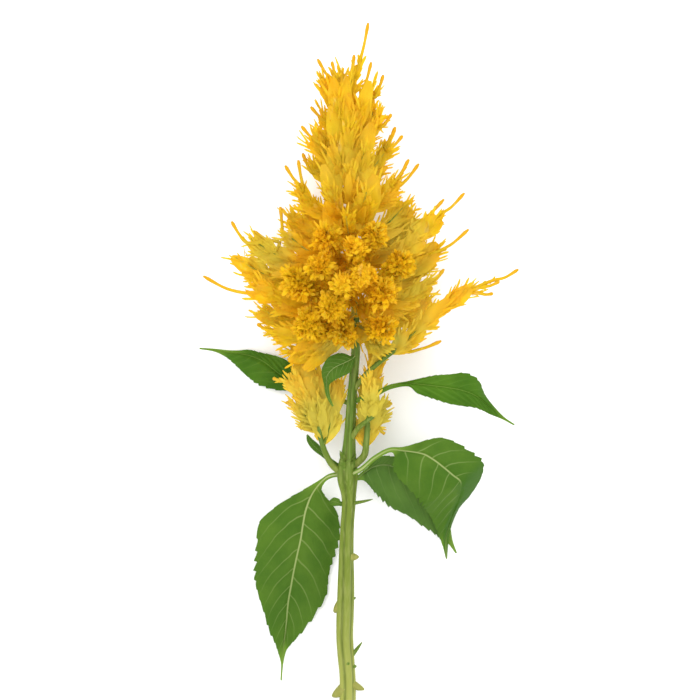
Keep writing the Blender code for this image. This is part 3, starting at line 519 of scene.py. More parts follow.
class Piece:
    """Faces of one fine piece. Each point carries a mark: four numbers that the piece's look reads."""

    def __init__(self):
        self.points = []
        self.faces = []
        self.marks = []

    def add(self, points, faces, marks):
        first = len(self.points)
        self.points += [Vector((p.x, p.y, max(p.z, LOWEST))) for p in points]
        self.marks += marks
        self.faces += [tuple(first + i for i in face) for face in faces]

    def build(self, name, node, look):
        shift = Vector((FOOTPRINT_CENTRE[0], FOOTPRINT_CENTRE[1], 0))
        mesh = bpy.data.meshes.new(name)
        mesh.from_pydata([(p - shift) * MM for p in self.points], [], self.faces)
        mesh.polygons.foreach_set("use_smooth", [True] * len(mesh.polygons))
        marks = mesh.attributes.new("mark", "FLOAT_COLOR", "POINT")
        marks.data.foreach_set("color", [n for mark in self.marks for n in mark])
        mesh.materials.append(look)
        obj = bpy.data.objects.new(name, mesh)
        bpy.context.scene.collection.objects.link(obj)
        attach(obj, "root")
        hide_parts(node)


def noise_at(point, size):
    return noise.noise(point / size)


def patch_at(point, patches):
    """How strongly any of the patches holds at a point, with uneven edges."""
    warp = 5 * noise_at(point, 6)
    found = 0.0
    for x, y, radius, amount in patches:
        distance = math.hypot(point.x - x, point.y - y) + warp
        found = max(found, amount * clamped(1.6 - 1.6 * distance / radius))
    return found


def colour_by_place(piece):
    """Adds the olive and orange patches to the mark of each point."""
    for i, (point, (along, olive, tint, out)) in enumerate(zip(piece.points, piece.marks)):
        olive = clamped(olive + patch_at(point, OLIVE_PATCHES))
        tint = tint * 0.5 + 0.5 * patch_at(point, ORANGE_PATCHES)
        piece.marks[i] = (along, olive, tint, out)


# Tubes and small sheets

def ring_faces(rings, sides):
    """Faces of a tube, from points ring by ring."""
    faces = []
    for i in range(rings - 1):
        for j in range(sides):
            a, b = i * sides + j, i * sides + (j + 1) % sides
            faces.append((a, b, b + sides, a + sides))
    return faces


def sheet_faces(rows, columns):
    """Faces of a sheet, from points row by row."""
    faces = []
    for i in range(rows - 1):
        for j in range(columns - 1):
            a = i * columns + j
            faces.append((a, a + 1, a + 1 + columns, a + columns))
    return faces


def add_tube(piece, points, radii, mark, sides=4):
    """A tube along points. The mark's first number runs from 0 to 1 along it."""
    made, marks = [], []
    for i, (point, radius, (_, side, up)) in enumerate(zip(points, radii, frames(points))):
        for j in range(sides):
            a = 2 * math.pi * j / sides
            made.append(point + side * (radius * math.cos(a)) + up * (radius * math.sin(a)))
            marks.append((i / (len(points) - 1), *mark))
    faces = ring_faces(len(points), sides)
    faces.append(tuple(range(len(made) - sides, len(made))))
    piece.add(made, faces, marks)


def add_blade(piece, points, width, face, mark, shares, fold):
    """A narrow sheet along points, folded along its middle. The shares give its width at each point."""
    made, marks = [], []
    last = len(points) - 1
    for i, (point, forward, share) in enumerate(zip(points, tangents(points), shares)):
        side = forward.cross(face).normalized()
        half = 0.5 * width * share
        for across in (-1, 0, 1):
            made.append(point + side * (across * half) + face * (abs(across) * half * fold))
            marks.append((i / last, *mark))
    piece.add(made, sheet_faces(len(points), 3), marks)


def add_membrane(piece, line, width, face, mark, rng, longest=7.0, teeth=0.4):
    """A thin ruffled sheet along a line, with fingers that point forward along its margins.

    The longest finger is given in millimetres, and the teeth as the chance of a finger at each place.
    """
    made, marks = [], []
    last = len(line) - 1
    phase = rng.uniform(0, 6)
    cup = rng.uniform(-0.25, 0.45)
    margins = []
    for i, (point, forward) in enumerate(zip(line, tangents(line))):
        s = i / last
        side = forward.cross(face).normalized()
        half = 0.5 * width * between(MEMBRANE, s)
        margins.append((forward, side, half))
        for j in range(MEMBRANE_COLUMNS):
            v = 2 * j / (MEMBRANE_COLUMNS - 1) - 1
            lift = half * (0.2 * math.sin(2.6 * v + 8 * s + phase) + cup * v * v) + 0.14 * (j % 2)
            made.append(point + side * (v * half) + face * lift)
            marks.append((s, *mark))
    piece.add(grounded(made), sheet_faces(len(line), MEMBRANE_COLUMNS), marks)
    for i in range(2, last + 1):
        forward, side, half = margins[i]
        for turn in (-1, 1):
            if rng.random() > teeth:
                continue
            out = side * turn
            direction = forward + out * rng.uniform(0.1, 0.5) + face * rng.uniform(-0.2, 0.3)
            root = line[i] + out * (half * 0.75) - forward * 0.8
            length = longest * rng.uniform(0.35, 1.0)
            add_finger(piece, root, direction, length, rng.uniform(0.9, 1.7), face, mark, rng)


def add_finger(piece, root, direction, length, width, face, mark, rng):
    """A narrow lobe with a blunt end, a little curved."""
    bend = Vector((rng.uniform(-0.25, 0.25), rng.uniform(-0.1, 0.35), rng.uniform(-0.2, 0.2)))
    line = grounded(curve(root, direction.normalized(), length, bend, len(FINGER)))
    add_blade(piece, line, width, face, mark, FINGER, 0.35)


def curve(root, direction, length, bend, count):
    """Points from a root in a direction, bending evenly by the given vector over its length."""
    steps = [i / (count - 1) for i in range(count)]
    return [root + (direction + bend * (t / 2)) * (length * t) for t in steps]


def grounded(points, low=0.25):
    return [Vector((p.x, p.y, pressed(p.z, low))) for p in points]


# The plume's sprays

def around(forward, side, up, turn, lean):
    """A direction that leans off the forward one, on the side that the turn names, and that side."""
    out = side * math.cos(turn) + up * math.sin(turn)
    return (forward * math.cos(lean) + out * math.sin(lean)).normalized(), out


def bones_of(spray):
    return [vec(p) for p in smooth(spray.route, SPRAY_POINTS)]


def add_spray(piece, spray, rng, olive=0.0, fuzz=0.35):
    """A spray: a thin axis, fingered membranes fanned along it, small tepals, and fingers at its end.

    The fuzz is the number of tepals on each millimetre.
    """
    bones = bones_of(spray)
    length = sum((b - a).length for a, b in zip(bones, bones[1:]))
    directions = frames(bones)
    radii = [0.8 - 0.045 * i for i in range(SPRAY_POINTS)]
    add_tube(piece, grounded(bones), radii, (olive + 0.45, 0.5, 0.7))
    count = 4 + round(length * spray.width / 80)
    for n in range(count):
        s = 0.03 + 0.75 * (n + rng.random()) / count
        k = int(s * (SPRAY_POINTS - 1))
        forward, side, up = directions[k]
        lean = math.radians(rng.uniform(5, 27))
        direction, out = around(forward, side, up, spray.roll + n * math.pi + rng.gauss(0, 0.5), lean)
        reach = min((1.0 - s) * length, 26 * rng.uniform(0.6, 1.0), spray.width * 0.42 / math.sin(lean))
        bend = forward * 0.2 + Vector((0, 0.1, 0)) - out * 0.15
        line = grounded(curve(bones[k], direction, max(reach, 5), bend, MEMBRANE_ROWS))
        face = up.lerp(UP, 0.4).normalized()
        mark = (olive, rng.random(), s)
        add_membrane(piece, line, spray.width * rng.uniform(0.36, 0.7), face, mark, rng)
    add_tepals(piece, spray, bones, round(length * fuzz), olive, rng)
    forward, side, up = directions[-2]
    for _ in range(END_FINGERS):
        turn = rng.uniform(0, 2 * math.pi)
        direction, _ = around(forward, side, up, turn, math.radians(rng.uniform(4, 34)))
        width = rng.uniform(1.0, 1.5)
        add_finger(piece, bones[-2], direction, rng.uniform(4.5, 9.5), width, up, (olive, 0.3, 1), rng)


def add_tepals(piece, spray, bones, count, olive, rng):
    """Small pointed tepals all round a spray's axis."""
    directions = frames(bones)
    last = len(bones) - 1
    for n in range(count):
        s = 0.1 + 0.86 * (n + rng.random()) / count
        k = min(int(s * last), last - 1)
        forward, side, up = directions[k]
        turn = rng.uniform(0, 2 * math.pi)
        direction, out = around(forward, side, up, turn, math.radians(rng.uniform(20, 60)))
        root = bones[k].lerp(bones[k + 1], s * last - k) + out * (spray.width * rng.uniform(0.0, 0.26))
        line = grounded(curve(root, direction, rng.uniform(2.8, 5.6), forward * 0.3, len(TEPAL)))
        add_blade(piece, line, rng.uniform(1.0, 1.9), out, (olive, rng.random(), s), TEPAL, 0.5)


def add_rosette(piece, centre, forward, radius, rng):
    """A crinkled dome of small blunt lobes at the end of a spray that faces up."""
    base = centre - forward * (radius * 0.7)
    for _ in range(round(radius**2 * 6)):
        out = (random_way(rng) + forward * 0.7).normalized()
        reach = radius * rng.uniform(0.75, 1.0) * (1 + 0.5 * noise_at(out * 4 + centre, 2.2))
        root = base + out * (reach * 0.7)
        direction = (out * 0.6 + random_way(rng) * 0.7).normalized()
        line = grounded(curve(root, direction, reach * 0.4, out * 0.5, len(CRINKLE)))
        face = (out + random_way(rng) * 0.6).normalized()
        mark = (-0.5, rng.random(), rng.uniform(1.2, 2.0))
        add_blade(piece, line, rng.uniform(1.3, 2.5), face, mark, CRINKLE, 0.5)


def random_way(rng):
    return Vector((rng.gauss(0, 1), rng.gauss(0, 1), rng.gauss(0, 1))).normalized()


def nearest_on(sprays, point):
    """The nearest point on any spray's line, apart from its root and its very tip."""
    places = [p for spray in sprays for p in bones_of(spray)[3:-1]]
    return min(places, key=lambda p: (p - point).length)


def add_long_threads(piece, sprays, ends, rng):
    """Threads that stand out of the outline. Each runs from the nearest spray through its start."""
    for start, tip in ends:
        root = nearest_on(sprays, start)
        middle = start.lerp(tip, 0.5) - Vector((0, (tip - start).length * 0.08, 0))
        line = [vec(p) for p in smooth([root, start, middle, tip], len(THREAD_RADII))]
        add_tube(piece, line, THREAD_RADII, (0.0, 0.3 + 0.3 * rng.random(), 1.0), 6)
        for i in range(1, 6):
            forward = (line[i + 1] - line[i]).normalized()
            side = Vector((-forward.y, forward.x, 0)) * rng.choice((-1, 1))
            length = rng.uniform(2.5, 5)
            add_finger(piece, line[i], forward + side * 0.5, length, 1.1, UP, (0, 0.3, 1), rng)


def rachis_at(y):
    rows = [(p[1], i) for i, p in enumerate(RACHIS)]
    s = between(rows, y) / (len(RACHIS) - 1)
    return vec(smooth(RACHIS, 101)[round(s * 100)])


def above_rachis(y, above):
    """A height above the rachis, or above its foot for places below that."""
    return rachis_at(max(y, RACHIS_FOOT)).z + above


def root_at(y):
    """Where a spray leaves the rachis, or the stem just below its foot."""
    root = rachis_at(max(y, RACHIS_FOOT))
    root.y = y
    return root


def spray_route(root, tip):
    """From the rachis out, then turning up towards the tip of the plume."""
    reach = tip - root
    bow = Vector((0, -0.13 * Vector((reach.x, 0, reach.z)).length, 0))
    points = [root, root + reach * 0.35 + bow, root + reach * 0.7 + bow * 0.8, tip]
    return grounded(points, 0.6)


def listed_sprays(rows, rng):
    """Sprays from rows of root height, tip x, tip y, tip above the rachis, and width."""
    sprays = []
    for root_y, x, y, above, width in rows:
        tip = Vector((x, y, above_rachis(y, above)))
        sprays.append(Spray(spray_route(root_at(root_y), tip), width, rng.uniform(-0.5, 0.5)))
    return sprays


def under_sprays(rng):
    """Sprays under the plume, which it rests on: they swing from side to side along the rachis."""
    sprays = []
    for k in range(UNDER_SPRAYS):
        root_y = UNDER_FROM + (UNDER_TO - UNDER_FROM) * k / (UNDER_SPRAYS - 1)
        angle = -math.pi / 2 + math.radians(58) * math.sin(k * GOLDEN_ANGLE + 1)
        root = root_at(root_y)
        tip_y = root_y + between(RISE, root_y)
        reach = between(REACH, tip_y) * rng.uniform(0.84, 1.0) * PRESSED_REACH
        tip = root + Vector((math.cos(angle) * reach, tip_y - root_y, math.sin(angle) * reach * 0.9))
        sprays.append(Spray(spray_route(root, tip), rng.uniform(9, 13), rng.uniform(-0.5, 0.5)))
    return sprays


def add_spire(piece, rng):
    """Long smooth sheets that lie along the upper rachis, side by side, with long fingers."""
    for n in range(SPIRE_SHEETS):
        y = SPIRE_FROM + (SPIRE_TO - SPIRE_FROM) * n / (SPIRE_SHEETS - 1)
        turn = (-1, 0, 1)[n % 3]
        room = (205 - y) / 100
        root = rachis_at(y) + Vector((6 * turn * room, 0, 9 * room + 2))
        direction = Vector((turn * 0.3 + rng.uniform(-0.1, 0.1), 1, 0.05)).normalized()
        length = min(rng.uniform(22, 32), SPIRE_END - y)
        line = curve(root, direction, length, Vector((-0.15 * turn, 0, -0.1)), SPIRE_ROWS)
        mark = (0, rng.random(), rng.uniform(0.3, 0.9))
        width = rng.uniform(8, 12) * (0.45 + 0.55 * room)
        add_membrane(piece, line, width, UP, mark, rng, longest=9.0, teeth=0.2)


def build_plume(look):
    """The plume in two pieces: what lies flat with the threads, and what faces up with the rosettes."""
    rng = random.Random(SEED)
    outline = listed_sprays(OUTLINE_SPRAYS, rng)
    front = listed_sprays(FRONT_SPRAYS, rng)
    under = under_sprays(random.Random(UNDER_SEED))
    flat = Piece()
    core = [rachis_at(y) for y in range(RACHIS_FOOT, RACHIS_TIP, 8)]
    add_tube(flat, core, [1.9 - 0.1 * i for i in range(len(core))], (0.6, 0.5, 0.4), 8)
    for spray in outline + under:
        add_spray(flat, spray, rng)
    threads = []
    for x0, y0, x1, y1, above in THREADS:
        z = above_rachis(y1, above)
        threads.append((Vector((x0, y0, z)), Vector((x1, y1, z))))
    add_long_threads(flat, outline, threads, rng)
    colour_by_place(flat)
    flat.build("plume_sides_fine", "plume", look)
    raised = Piece()
    for spray in front:
        low = spray.route[-1].y < ROSETTES_UP_TO
        add_spray(raised, spray, rng, fuzz=0.9 if low else 0.3)
        if low:
            bones = bones_of(spray)
            for k, share in ROSETTES:
                add_rosette(raised, bones[k], tangents(bones)[k], spray.width * share, rng)
    add_spire(raised, rng)
    colour_by_place(raised)
    raised.build("plume_front_fine", "plume", look)


def build_side_spray(name, plan, look):
    rng = random.Random(SEED + len(name))
    piece = Piece()
    sprays = []
    for route, width in plan["bodies"]:
        sprays.append(Spray([vec(p) for p in route], width, rng.uniform(-0.3, 0.3)))
    for spray in sprays:
        add_spray(piece, spray, rng, olive=0.12)
    for tip in plan["threads"]:
        root = nearest_on(sprays, Vector(tip))
        start = root.lerp(Vector(tip), 0.5)
        add_long_threads(piece, sprays, [(start, Vector(tip))], rng)
    colour_by_place(piece)
    piece.build(f"{name}_fine", name, look)


# Leaves

def leaf_stations(rows, count):
    """Midrib, left margin and right margin at even steps along a leaf."""
    full = []
    last = len(rows) - 1
    for i, row in enumerate(rows):
        if len(row) == 3:
            forward = vec(rows[min(i + 1, last)]) - vec(rows[max(i - 1, 0)])
            across = Vector((-forward.y, forward.x, 0)).normalized()
            half = across * (STALK_HALF if 2 * i < last else TIP_HALF)
            row = (*row, *(vec(row) + half), *(vec(row) - half))
        full.append(row)
    return [(vec(r), vec(r[3:]), vec(r[6:])) for r in smooth(full, count)]


def vein_mark(u, v, share):
    """1 on a side vein, 0 between veins, which leave the midrib in turn and bend towards the tip."""
    c = (u - VEIN_SLOPE * share * abs(v) ** 1.3) * VEIN_PAIRS + (0.5 if v > 0 else 0.0)
    return abs(2 * (c - math.floor(c)) - 1)


def margin_tooth(u, left, phase):
    """Uneven teeth on a leaf's margin, from -1 to 1."""
    c = u * (LEFT_TEETH if left else RIGHT_TEETH) + 0.35 * math.sin(u * 17 + phase)
    saw = c - math.floor(c)
    return (0.6 + 0.4 * math.sin(c * 0.9 + phase)) * (2 * saw - 1)


def hanging_painted_shade(name, u, v):
    """1 where the leaf hangs away from the light and shade is painted on it, 0 elsewhere."""
    start = HANGING_SIDE_PAINTED_SHADE.get(name, 1.0)
    side = clamped(5 * (v + 0.15) + 14 * max(0.0, u - start - 0.16))
    return side * clamped(14 * (u - start))


def build_leaf(name, rows, look):
    """A thin leaf with a toothed, slightly waved margin and a surface puckered between its veins."""
    rough = leaf_stations(rows, 60)
    widest = max(max((left - mid).length, (right - mid).length) for mid, left, right in rough)
    count, cells = SMALL_LEAF_CELLS if widest < SMALL_LEAF else LEAF_CELLS
    rng = random.Random(name)
    phase = rng.uniform(0, 6)
    points, marks = [], []
    for i, (middle, left, right) in enumerate(leaf_stations(rows, count)):
        u = i / (count - 1)
        for j in range(-cells, cells + 1):
            v = j / cells
            reach = (left if v > 0 else right) - middle
            share = reach.length / widest
            blade = min(1.0, share / 0.3)
            tooth = 1 + 0.05 * blade * margin_tooth(u, v > 0, phase) * abs(v) ** 6
            wave = 0.9 * share * math.sin(u * 31 + (2 if v > 0 else 0) + phase) * v**2
            pucker = 0.7 * (1 - vein_mark(u, v, share) ** 2) * (1 - abs(v) ** 3) * min(1.0, 5 * abs(v))
            rise = blade * (wave + pucker + 0.8 * min(1.0, abs(v) * 6))
            point = middle + Vector((reach.x, reach.y, 0)) * (abs(v) * tooth)
            point.z = pressed(middle.z + reach.z * abs(v) ** 1.6 + rise * min(1.0, widest / 10), 0.25)
            points.append(point)
            # The last number goes from 1 up to 2 where shade is painted on the hanging side.
            marks.append((u, 0.5 + 0.5 * v, share, blade + hanging_painted_shade(name, u, v)))
    piece = Piece()
    piece.add(points, sheet_faces(count, 2 * cells + 1), marks)
    add_petiole(piece, rows, widest, HANGING_SIDE_PAINTED_SHADE.get(name, MIDRIB_END))
    piece.build(f"{name}_fine", name, look)


def add_petiole(piece, rows, widest, end):
    """The leaf's stalk, which runs on under the blade as its midrib and ends at this share of the length."""
    line = [mid - Vector((0, 0, 0.35)) for mid, _, _ in leaf_stations(rows, 100)[:round(100 * end)]]
    radii = [1.05 * min(1.0, widest / 8) * (1 - 0.97 * (i / 100) ** 0.4) for i in range(len(line))]
    add_tube(piece, grounded(line), radii, (0.5, 0.0, 1.0), 8)


# Stem

def stem_at(y):
    """Centre and radius of the stem at a place along it."""
    rows = smooth(STEM, 120)
    row = min(rows, key=lambda r: abs(r[1] - y))
    return vec(row), row[3]


def build_stem(look):
    """The ribbed stem with its side shoots, stubs of old leaves, and a slanted cut."""
    rows = smooth(STEM, STEM_RINGS)
    piece = Piece()
    centres = [vec(r) for r in rows]
    points, marks = [], []
    for i, (row, (_, side, up)) in enumerate(zip(rows, frames(centres))):
        for j in range(STEM_SIDES):
            a = 2 * math.pi * j / STEM_SIDES
            groove = max(0.0, -math.cos(STEM_RIBS * a))
            rib = RIB_DEPTH * math.cos(STEM_RIBS * a) - 0.04 * groove**3
            rough = 0.025 * noise_at(Vector((math.cos(a) * 3, row[1] * 0.12, math.sin(a) * 3)), 1.2)
            r = row[3] * (1 + rib + rough)
            point = centres[i] + side * (r * math.cos(a)) + up * (r * math.sin(a))
            if i == 0:
                point.y += (point.x - centres[0].x) * CUT_SLANT
            point.z = pressed(point.z, 0.1)
            points.append(point)
            marks.append(((row[1] - STEM[0][1]) / STEM_COLOURED, groove**2, 0.0, 0.0))
    faces = ring_faces(STEM_RINGS, STEM_SIDES)
    faces.append(tuple(reversed(range(STEM_SIDES))))
    piece.add(points, faces, marks)
    for route, start, end in SHOOTS.values():
        line = [vec(p) for p in smooth(route, 24)]
        radii = [start + (end - start) * i / 23 for i in range(24)]
        add_tube(piece, line, radii, (0.2, 0.0, 0.6), 14)
    for stub in STUBS:
        add_stub(piece, *stub)
    add_collar(piece)
    piece.build("stem_fine", "stem", look)


def add_collar(piece):
    """Small dark scales that clasp the stem where the large leaves leave it."""
    rng = random.Random(SEED)
    for _ in range(COLLAR_SCALES):
        y = rng.uniform(-6, 1)
        centre, radius = stem_at(y)
        a = math.radians(rng.uniform(0, 180))
        out = Vector((math.cos(a), 0, math.sin(a)))
        direction = (out * 0.35 + Vector((0, 1, 0))).normalized()
        line = curve(centre + out * (radius * 0.85), direction, rng.uniform(3.5, 6.5), out * 0.3, len(TEPAL))
        add_blade(piece, line, rng.uniform(2.5, 4.0), out, (0.0, 0.0, 1.0), TEPAL, -0.4)


def add_stub(piece, y, angle, length, radius, lean):
    """What is left of a leaf or a bud: a short tapering stub."""
    centre, _ = stem_at(y)
    a = math.radians(angle)
    out = Vector((math.cos(a), lean, math.sin(a))).normalized()
    line = curve(centre, out, length, Vector((0, 0.15, 0)), len(STUB_PROFILE))
    radii = [radius * share for share in STUB_PROFILE]
    brown = 1.0 if radius >= KNOB_RADIUS else 0.0
    add_tube(piece, line, radii, (0.1, brown, 0.9), 12)


# Materials

def shader_nodes(name):
    made = bpy.data.materials.new(name)
    made.use_nodes = True
    tree = made.node_tree
    return made, tree, tree.nodes["Principled BSDF"]


def link(tree, source, target):
    tree.links.new(source, target)


def math_node(tree, operation, first, second=None):
    """One step of arithmetic on sockets or numbers."""
    node = tree.nodes.new("ShaderNodeMath")
    node.operation = operation
    for socket, value in zip(node.inputs, (first, second)):
        if isinstance(value, bpy.types.NodeSocket):
            link(tree, value, socket)
        elif value is not None:
            socket.default_value = value
    return node.outputs[0]


def mix_colour(tree, factor, first, second):
    node = tree.nodes.new("ShaderNodeMix")
    node.data_type = "RGBA"
    for socket, value in ((node.inputs[0], factor), (node.inputs[6], first), (node.inputs[7], second)):
        if isinstance(value, bpy.types.NodeSocket):
            link(tree, value, socket)
        elif isinstance(value, tuple):
            socket.default_value = (*value, 1)
        else:
            socket.default_value = value
    return node.outputs[2]


def inverse(tree, value):
    return math_node(tree, "SUBTRACT", 1.0, value)


def tinted(tree, colour, factor, share, other):
    """A colour turned towards another one, by a factor times a share."""
    return mix_colour(tree, math_node(tree, "MULTIPLY", factor, share), colour, other)


def ramp(tree, value, start, end):
    """0 at the start value and 1 at the end one, smoothly. The start may be the higher of the two."""
    node = tree.nodes.new("ShaderNodeMapRange")
    node.interpolation_type = "SMOOTHSTEP"
    link(tree, value, node.inputs["Value"])
    node.inputs["From Min"].default_value = start
    node.inputs["From Max"].default_value = end
    return node.outputs["Result"]


def noise_node(tree, size_mm, detail, stretch=None):
    """Noise with features of the given size, in the object's own space."""
    place = tree.nodes.new("ShaderNodeTexCoord").outputs["Object"]
    if stretch:
        mapping = tree.nodes.new("ShaderNodeMapping")
        mapping.inputs["Scale"].default_value = stretch
        link(tree, place, mapping.inputs["Vector"])
        place = mapping.outputs["Vector"]
    node = tree.nodes.new("ShaderNodeTexNoise")
    node.inputs["Scale"].default_value = 1 / (size_mm * MM)
    node.inputs["Detail"].default_value = detail
    link(tree, place, node.inputs["Vector"])
    return node.outputs["Fac"]


def read_marks(tree):
    """The four numbers of each point's mark."""
    node = tree.nodes.new("ShaderNodeAttribute")
    node.attribute_name = "mark"
    parts = tree.nodes.new("ShaderNodeSeparateColor")
    link(tree, node.outputs["Color"], parts.inputs[0])
    return [*parts.outputs, node.outputs["Alpha"]]


def bump(tree, height, distance_mm, strength):
    node = tree.nodes.new("ShaderNodeBump")
    node.inputs["Distance"].default_value = distance_mm * MM
    node.inputs["Strength"].default_value = strength
    link(tree, height, node.inputs["Height"])
    return node.outputs["Normal"]


def translucent(tree, shader, colour, share):
    """Lets some light through a thin sheet."""
    through = tree.nodes.new("ShaderNodeBsdfTranslucent")
    link(tree, colour, through.inputs["Color"])
    mixed = tree.nodes.new("ShaderNodeMixShader")
    mixed.inputs[0].default_value = share
    link(tree, shader.outputs[0], mixed.inputs[1])
    link(tree, through.outputs[0], mixed.inputs[2])
    link(tree, mixed.outputs[0], tree.nodes["Material Output"].inputs["Surface"])


def plume_look(name, gold, orange):
    """Papery yellow with orange and olive patches, and painted orange shade near the root of a spray.

    Marks: place along the sheet, how olive, tint, and place along the spray, or 1 to 2 in a rosette, which
    is painted lighter.
    """
    made, tree, shader = shader_nodes(name)
    along, olive, tint, out = read_marks(tree)
    warm = math_node(tree, "ADD", noise_node(tree, 16, 3), math_node(tree, "MULTIPLY", tint, 0.4))
    colour = mix_colour(tree, ramp(tree, warm, 0.5, 0.95), gold, orange)
    colour = tinted(tree, colour, ramp(tree, noise_node(tree, 5, 2), 0.5, 0.75), 0.5, PLUME_BRIGHT)
    # Painted light: pale streaks where light shines through the thin sheets.
    painted_shine_streaks = ramp(tree, noise_node(tree, 5, 3, (1.0, 0.35, 1.0)), 0.62, 0.8)
    colour = tinted(tree, colour, painted_shine_streaks, 0.4, PLUME_PAINTED_SHINE_THROUGH)
    # Painted light: rosettes get a brighter yellow against the shade in their crinkles.
    rosette_painted_light = ramp(tree, out, 1.0, 2.0)
    colour = tinted(tree, colour, rosette_painted_light, 0.6, PLUME_FLUFF_PAINTED_LIGHT)
    # Painted shade: stretched dark brown streaks for shadows in the crevices between strands, kept off the
    # rosettes.
    painted_crevice_shade = ramp(tree, noise_node(tree, 5, 4, (1.0, 0.3, 1.0)), 0.46, 0.28)
    painted_crevice_shade = math_node(tree, "MULTIPLY", painted_crevice_shade, inverse(tree, rosette_painted_light))
    colour = tinted(tree, colour, painted_crevice_shade, 0.45, PLUME_PAINTED_CREVICE_SHADE)
    # Painted shade: orange near the root of a spray, where the plume's inside lies in shade.
    colour = tinted(tree, colour, inverse(tree, ramp(tree, out, 0.0, 0.5)), 0.5, PLUME_PAINTED_INNER_SHADE)
    colour = tinted(tree, colour, ramp(tree, along, 0.55, 1.0), 0.6, PLUME_TIP)
    colour = mix_colour(tree, ramp(tree, olive, 0.0, 0.6), colour, PLUME_OLIVE)
    colour = mix_colour(tree, ramp(tree, olive, 0.4, 0.9), colour, PLUME_GREEN)
    link(tree, colour, shader.inputs["Base Color"])
    shader.inputs["Roughness"].default_value = 0.6
    shader.inputs["Specular IOR Level"].default_value = 0.2
    fibres = noise_node(tree, 0.7, 3)
    link(tree, bump(tree, fibres, 0.25, 0.5), shader.inputs["Normal"])
    translucent(tree, shader, colour, 0.4)
    return made


def leaf_look(name, face, dark, vein):
    """A satin leaf with a pale midrib and side veins, and fine mottling between them.

    Marks: place along the leaf, place across it, its width there, and 0 on the stalk to 1 on the blade,
    or up to 2 where shade is painted on the blade that hangs away from the light.
    """
    made, tree, shader = shader_nodes(name)
    along, across, width, blade = read_marks(tree)
    offset = math_node(tree, "SUBTRACT", across, 0.5)
    v = math_node(tree, "MULTIPLY", math_node(tree, "ABSOLUTE", offset), 2.0)
    bent = math_node(tree, "MULTIPLY", math_node(tree, "POWER", v, 1.3), VEIN_SLOPE)
    bent = math_node(tree, "MULTIPLY", bent, width)
    place = math_node(tree, "MULTIPLY", math_node(tree, "SUBTRACT", along, bent), float(VEIN_PAIRS))
    place = math_node(tree, "ADD", place, math_node(tree, "MULTIPLY", noise_node(tree, 18, 2), 0.6))
    other = math_node(tree, "MULTIPLY", math_node(tree, "GREATER_THAN", offset, 0.0), 0.5)
    turn = math_node(tree, "FRACT", math_node(tree, "ADD", place, other))
    ridge = math_node(tree, "SUBTRACT", math_node(tree, "MULTIPLY", turn, 2.0), 1.0)
    ridge = math_node(tree, "ABSOLUTE", ridge)
    inner = inverse(tree, math_node(tree, "MULTIPLY", v, v))
    side_vein = math_node(tree, "MULTIPLY", ramp(tree, ridge, 0.86, 0.99), inner)
    rib_place = math_node(tree, "MULTIPLY", v, width)
    midrib = inverse(tree, ramp(tree, rib_place, 0.008, 0.028))
    # Painted shade on the side that hangs away from the light; the veins fade out under it.
    painted_shade = ramp(tree, blade, 1.0, 2.0)
    fade = inverse(tree, math_node(tree, "MULTIPLY", along, 0.7))
    fade = math_node(tree, "MULTIPLY", fade, inverse(tree, painted_shade))
    veins = math_node(tree, "MAXIMUM", math_node(tree, "MULTIPLY", side_vein, 0.38), midrib)
    veins = math_node(tree, "MULTIPLY", veins, fade)
    colour = mix_colour(tree, ramp(tree, noise_node(tree, 16, 5), 0.3, 0.7), face, dark)
    colour = tinted(tree, colour, ramp(tree, along, 0.4, 1.0), 0.7, dark)
    colour = tinted(tree, colour, veins, 0.95, vein)
    colour = tinted(tree, colour, painted_shade, 0.75, LEAF_PAINTED_SHADE)
    colour = tinted(tree, colour, inverse(tree, ramp(tree, blade, 0.2, 0.9)), 0.6, STALK_GREEN)
    link(tree, colour, shader.inputs["Base Color"])
    shader.inputs["Roughness"].default_value = 0.6
    shader.inputs["Specular IOR Level"].default_value = 0.12
    height = math_node(tree, "SUBTRACT", noise_node(tree, 1.6, 3), math_node(tree, "MULTIPLY", ridge, 0.5))
    link(tree, bump(tree, height, 0.3, 0.5), shader.inputs["Normal"])
    translucent(tree, shader, colour, 0.18)
    return made


def stem_look():
    """Fresh green that turns yellow-green towards the cut, with dark grooves and lengthwise fibres.

    Marks: place along the stem, how deep in a groove, how brown, and how much like a young shoot.
    """
    made, tree, shader = shader_nodes("stem_look")
    along, groove, brown, shoot = read_marks(tree)
    colour = mix_colour(tree, ramp(tree, along, 0.05, 0.5), STEM_LOW, STEM_MIDDLE)
    colour = mix_colour(tree, ramp(tree, along, 0.52, 0.72), colour, STEM_HIGH)
    colour = tinted(tree, colour, groove, 0.75, STEM_GROOVE)
    colour = tinted(tree, colour, shoot, 0.8, STEM_HIGH)
    colour = tinted(tree, colour, brown, 0.8, STUB_BROWN)
    fibres = noise_node(tree, 1.1, 4, (1.0, 0.08, 1.0))
    colour = tinted(tree, colour, ramp(tree, fibres, 0.4, 0.75), 0.3, STEM_PALE)
    link(tree, colour, shader.inputs["Base Color"])
    shader.inputs["Roughness"].default_value = 0.55
    shader.inputs["Specular IOR Level"].default_value = 0.2
    shader.inputs["Subsurface Weight"].default_value = 0.1
    shader.inputs["Subsurface Radius"].default_value = (0.001, 0.002, 0.0005)
    link(tree, bump(tree, fibres, 0.2, 0.6), shader.inputs["Normal"])
    return made


# Stage

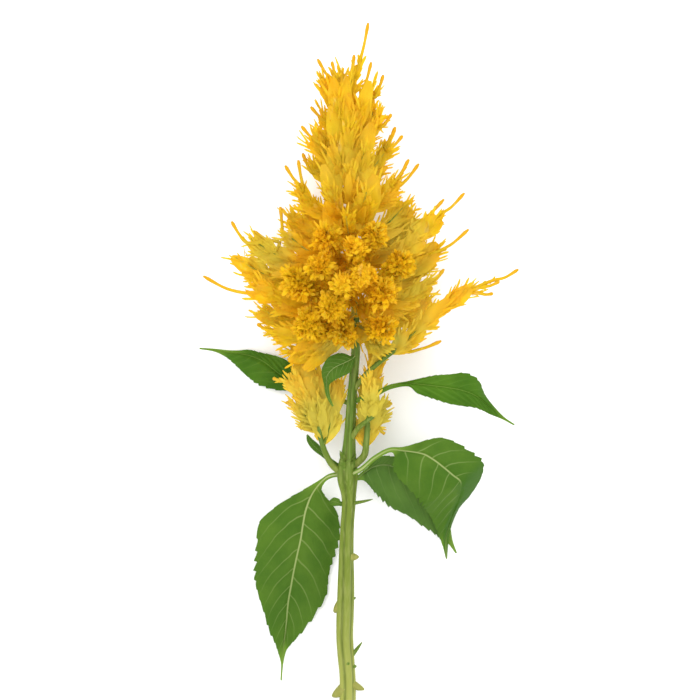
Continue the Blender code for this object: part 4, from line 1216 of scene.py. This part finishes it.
def build_stage():
    """A pale floor, soft lights and a camera that looks straight down."""
    bpy.ops.mesh.primitive_plane_add(size=FLOOR_SIZE, location=(0, 0, 0))
    floor = bpy.context.active_object
    floor.name = "floor"
    paint = bpy.data.materials.new("floor_paint")
    paint.use_nodes = True
    shader = paint.node_tree.nodes["Principled BSDF"]
    shader.inputs["Base Color"].default_value = (FLOOR_WHITE, FLOOR_WHITE, FLOOR_WHITE, 1)
    shader.inputs["Roughness"].default_value = 0.9
    shader.inputs["Specular IOR Level"].default_value = 0.0
    floor.data.materials.append(paint)
    world = bpy.data.worlds.new("studio")
    bpy.context.scene.world = world
    world.use_nodes = True
    world.node_tree.nodes["Background"].inputs["Color"].default_value = (1, 1, 1, 1)
    world.node_tree.nodes["Background"].inputs["Strength"].default_value = WORLD_LIGHT
    for name, place, size, power in LIGHTS:
        lamp = bpy.data.lights.new(name, "AREA")
        lamp.shape = "DISK"
        lamp.size = size
        lamp.energy = power
        obj = bpy.data.objects.new(name, lamp)
        obj.location = place
        obj.rotation_euler = (-Vector(place)).to_track_quat("-Z", "Y").to_euler()
        bpy.context.scene.collection.objects.link(obj)
    camera = bpy.data.cameras.new("camera")
    camera.lens = LENS_MM
    camera.sensor_width = SENSOR_MM
    camera.clip_end = 10
    obj = bpy.data.objects.new("camera", camera)
    obj.location = (
        (VIEW_CENTRE[0] - FOOTPRINT_CENTRE[0]) * MM,
        (VIEW_CENTRE[1] - FOOTPRINT_CENTRE[1]) * MM,
        CAMERA_HEIGHT,
    )
    bpy.context.scene.collection.objects.link(obj)
    bpy.context.scene.camera = obj
    bpy.context.scene.view_settings.view_transform = "Standard"


def main():
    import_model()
    plume = plume_look("plume_look", PLUME_GOLD, PLUME_ORANGE)
    low = plume_look("low_spray_look", LOW_GOLD, LOW_ORANGE)
    leaf = leaf_look("leaf_look", LEAF_FACE, LEAF_DARK, LEAF_VEIN)
    upper = leaf_look("leaf_upper_look", UPPER_FACE, UPPER_DARK, UPPER_VEIN)
    behind = leaf_look("leaf_behind_look", BEHIND_FACE, BEHIND_DARK, BEHIND_VEIN)
    build_stem(stem_look())
    for name, rows in LEAVES.items():
        if name == "leaf_lower_right_behind":
            build_leaf(name, rows, behind)
        elif name.startswith("leaf_upper"):
            build_leaf(name, rows, upper)
        else:
            build_leaf(name, rows, leaf)
    for name, plan in SIDE_SPRAYS.items():
        build_side_spray(name, plan, plume if name == "spray_right_long" else low)
    build_plume(plume)
    build_stage()


main()
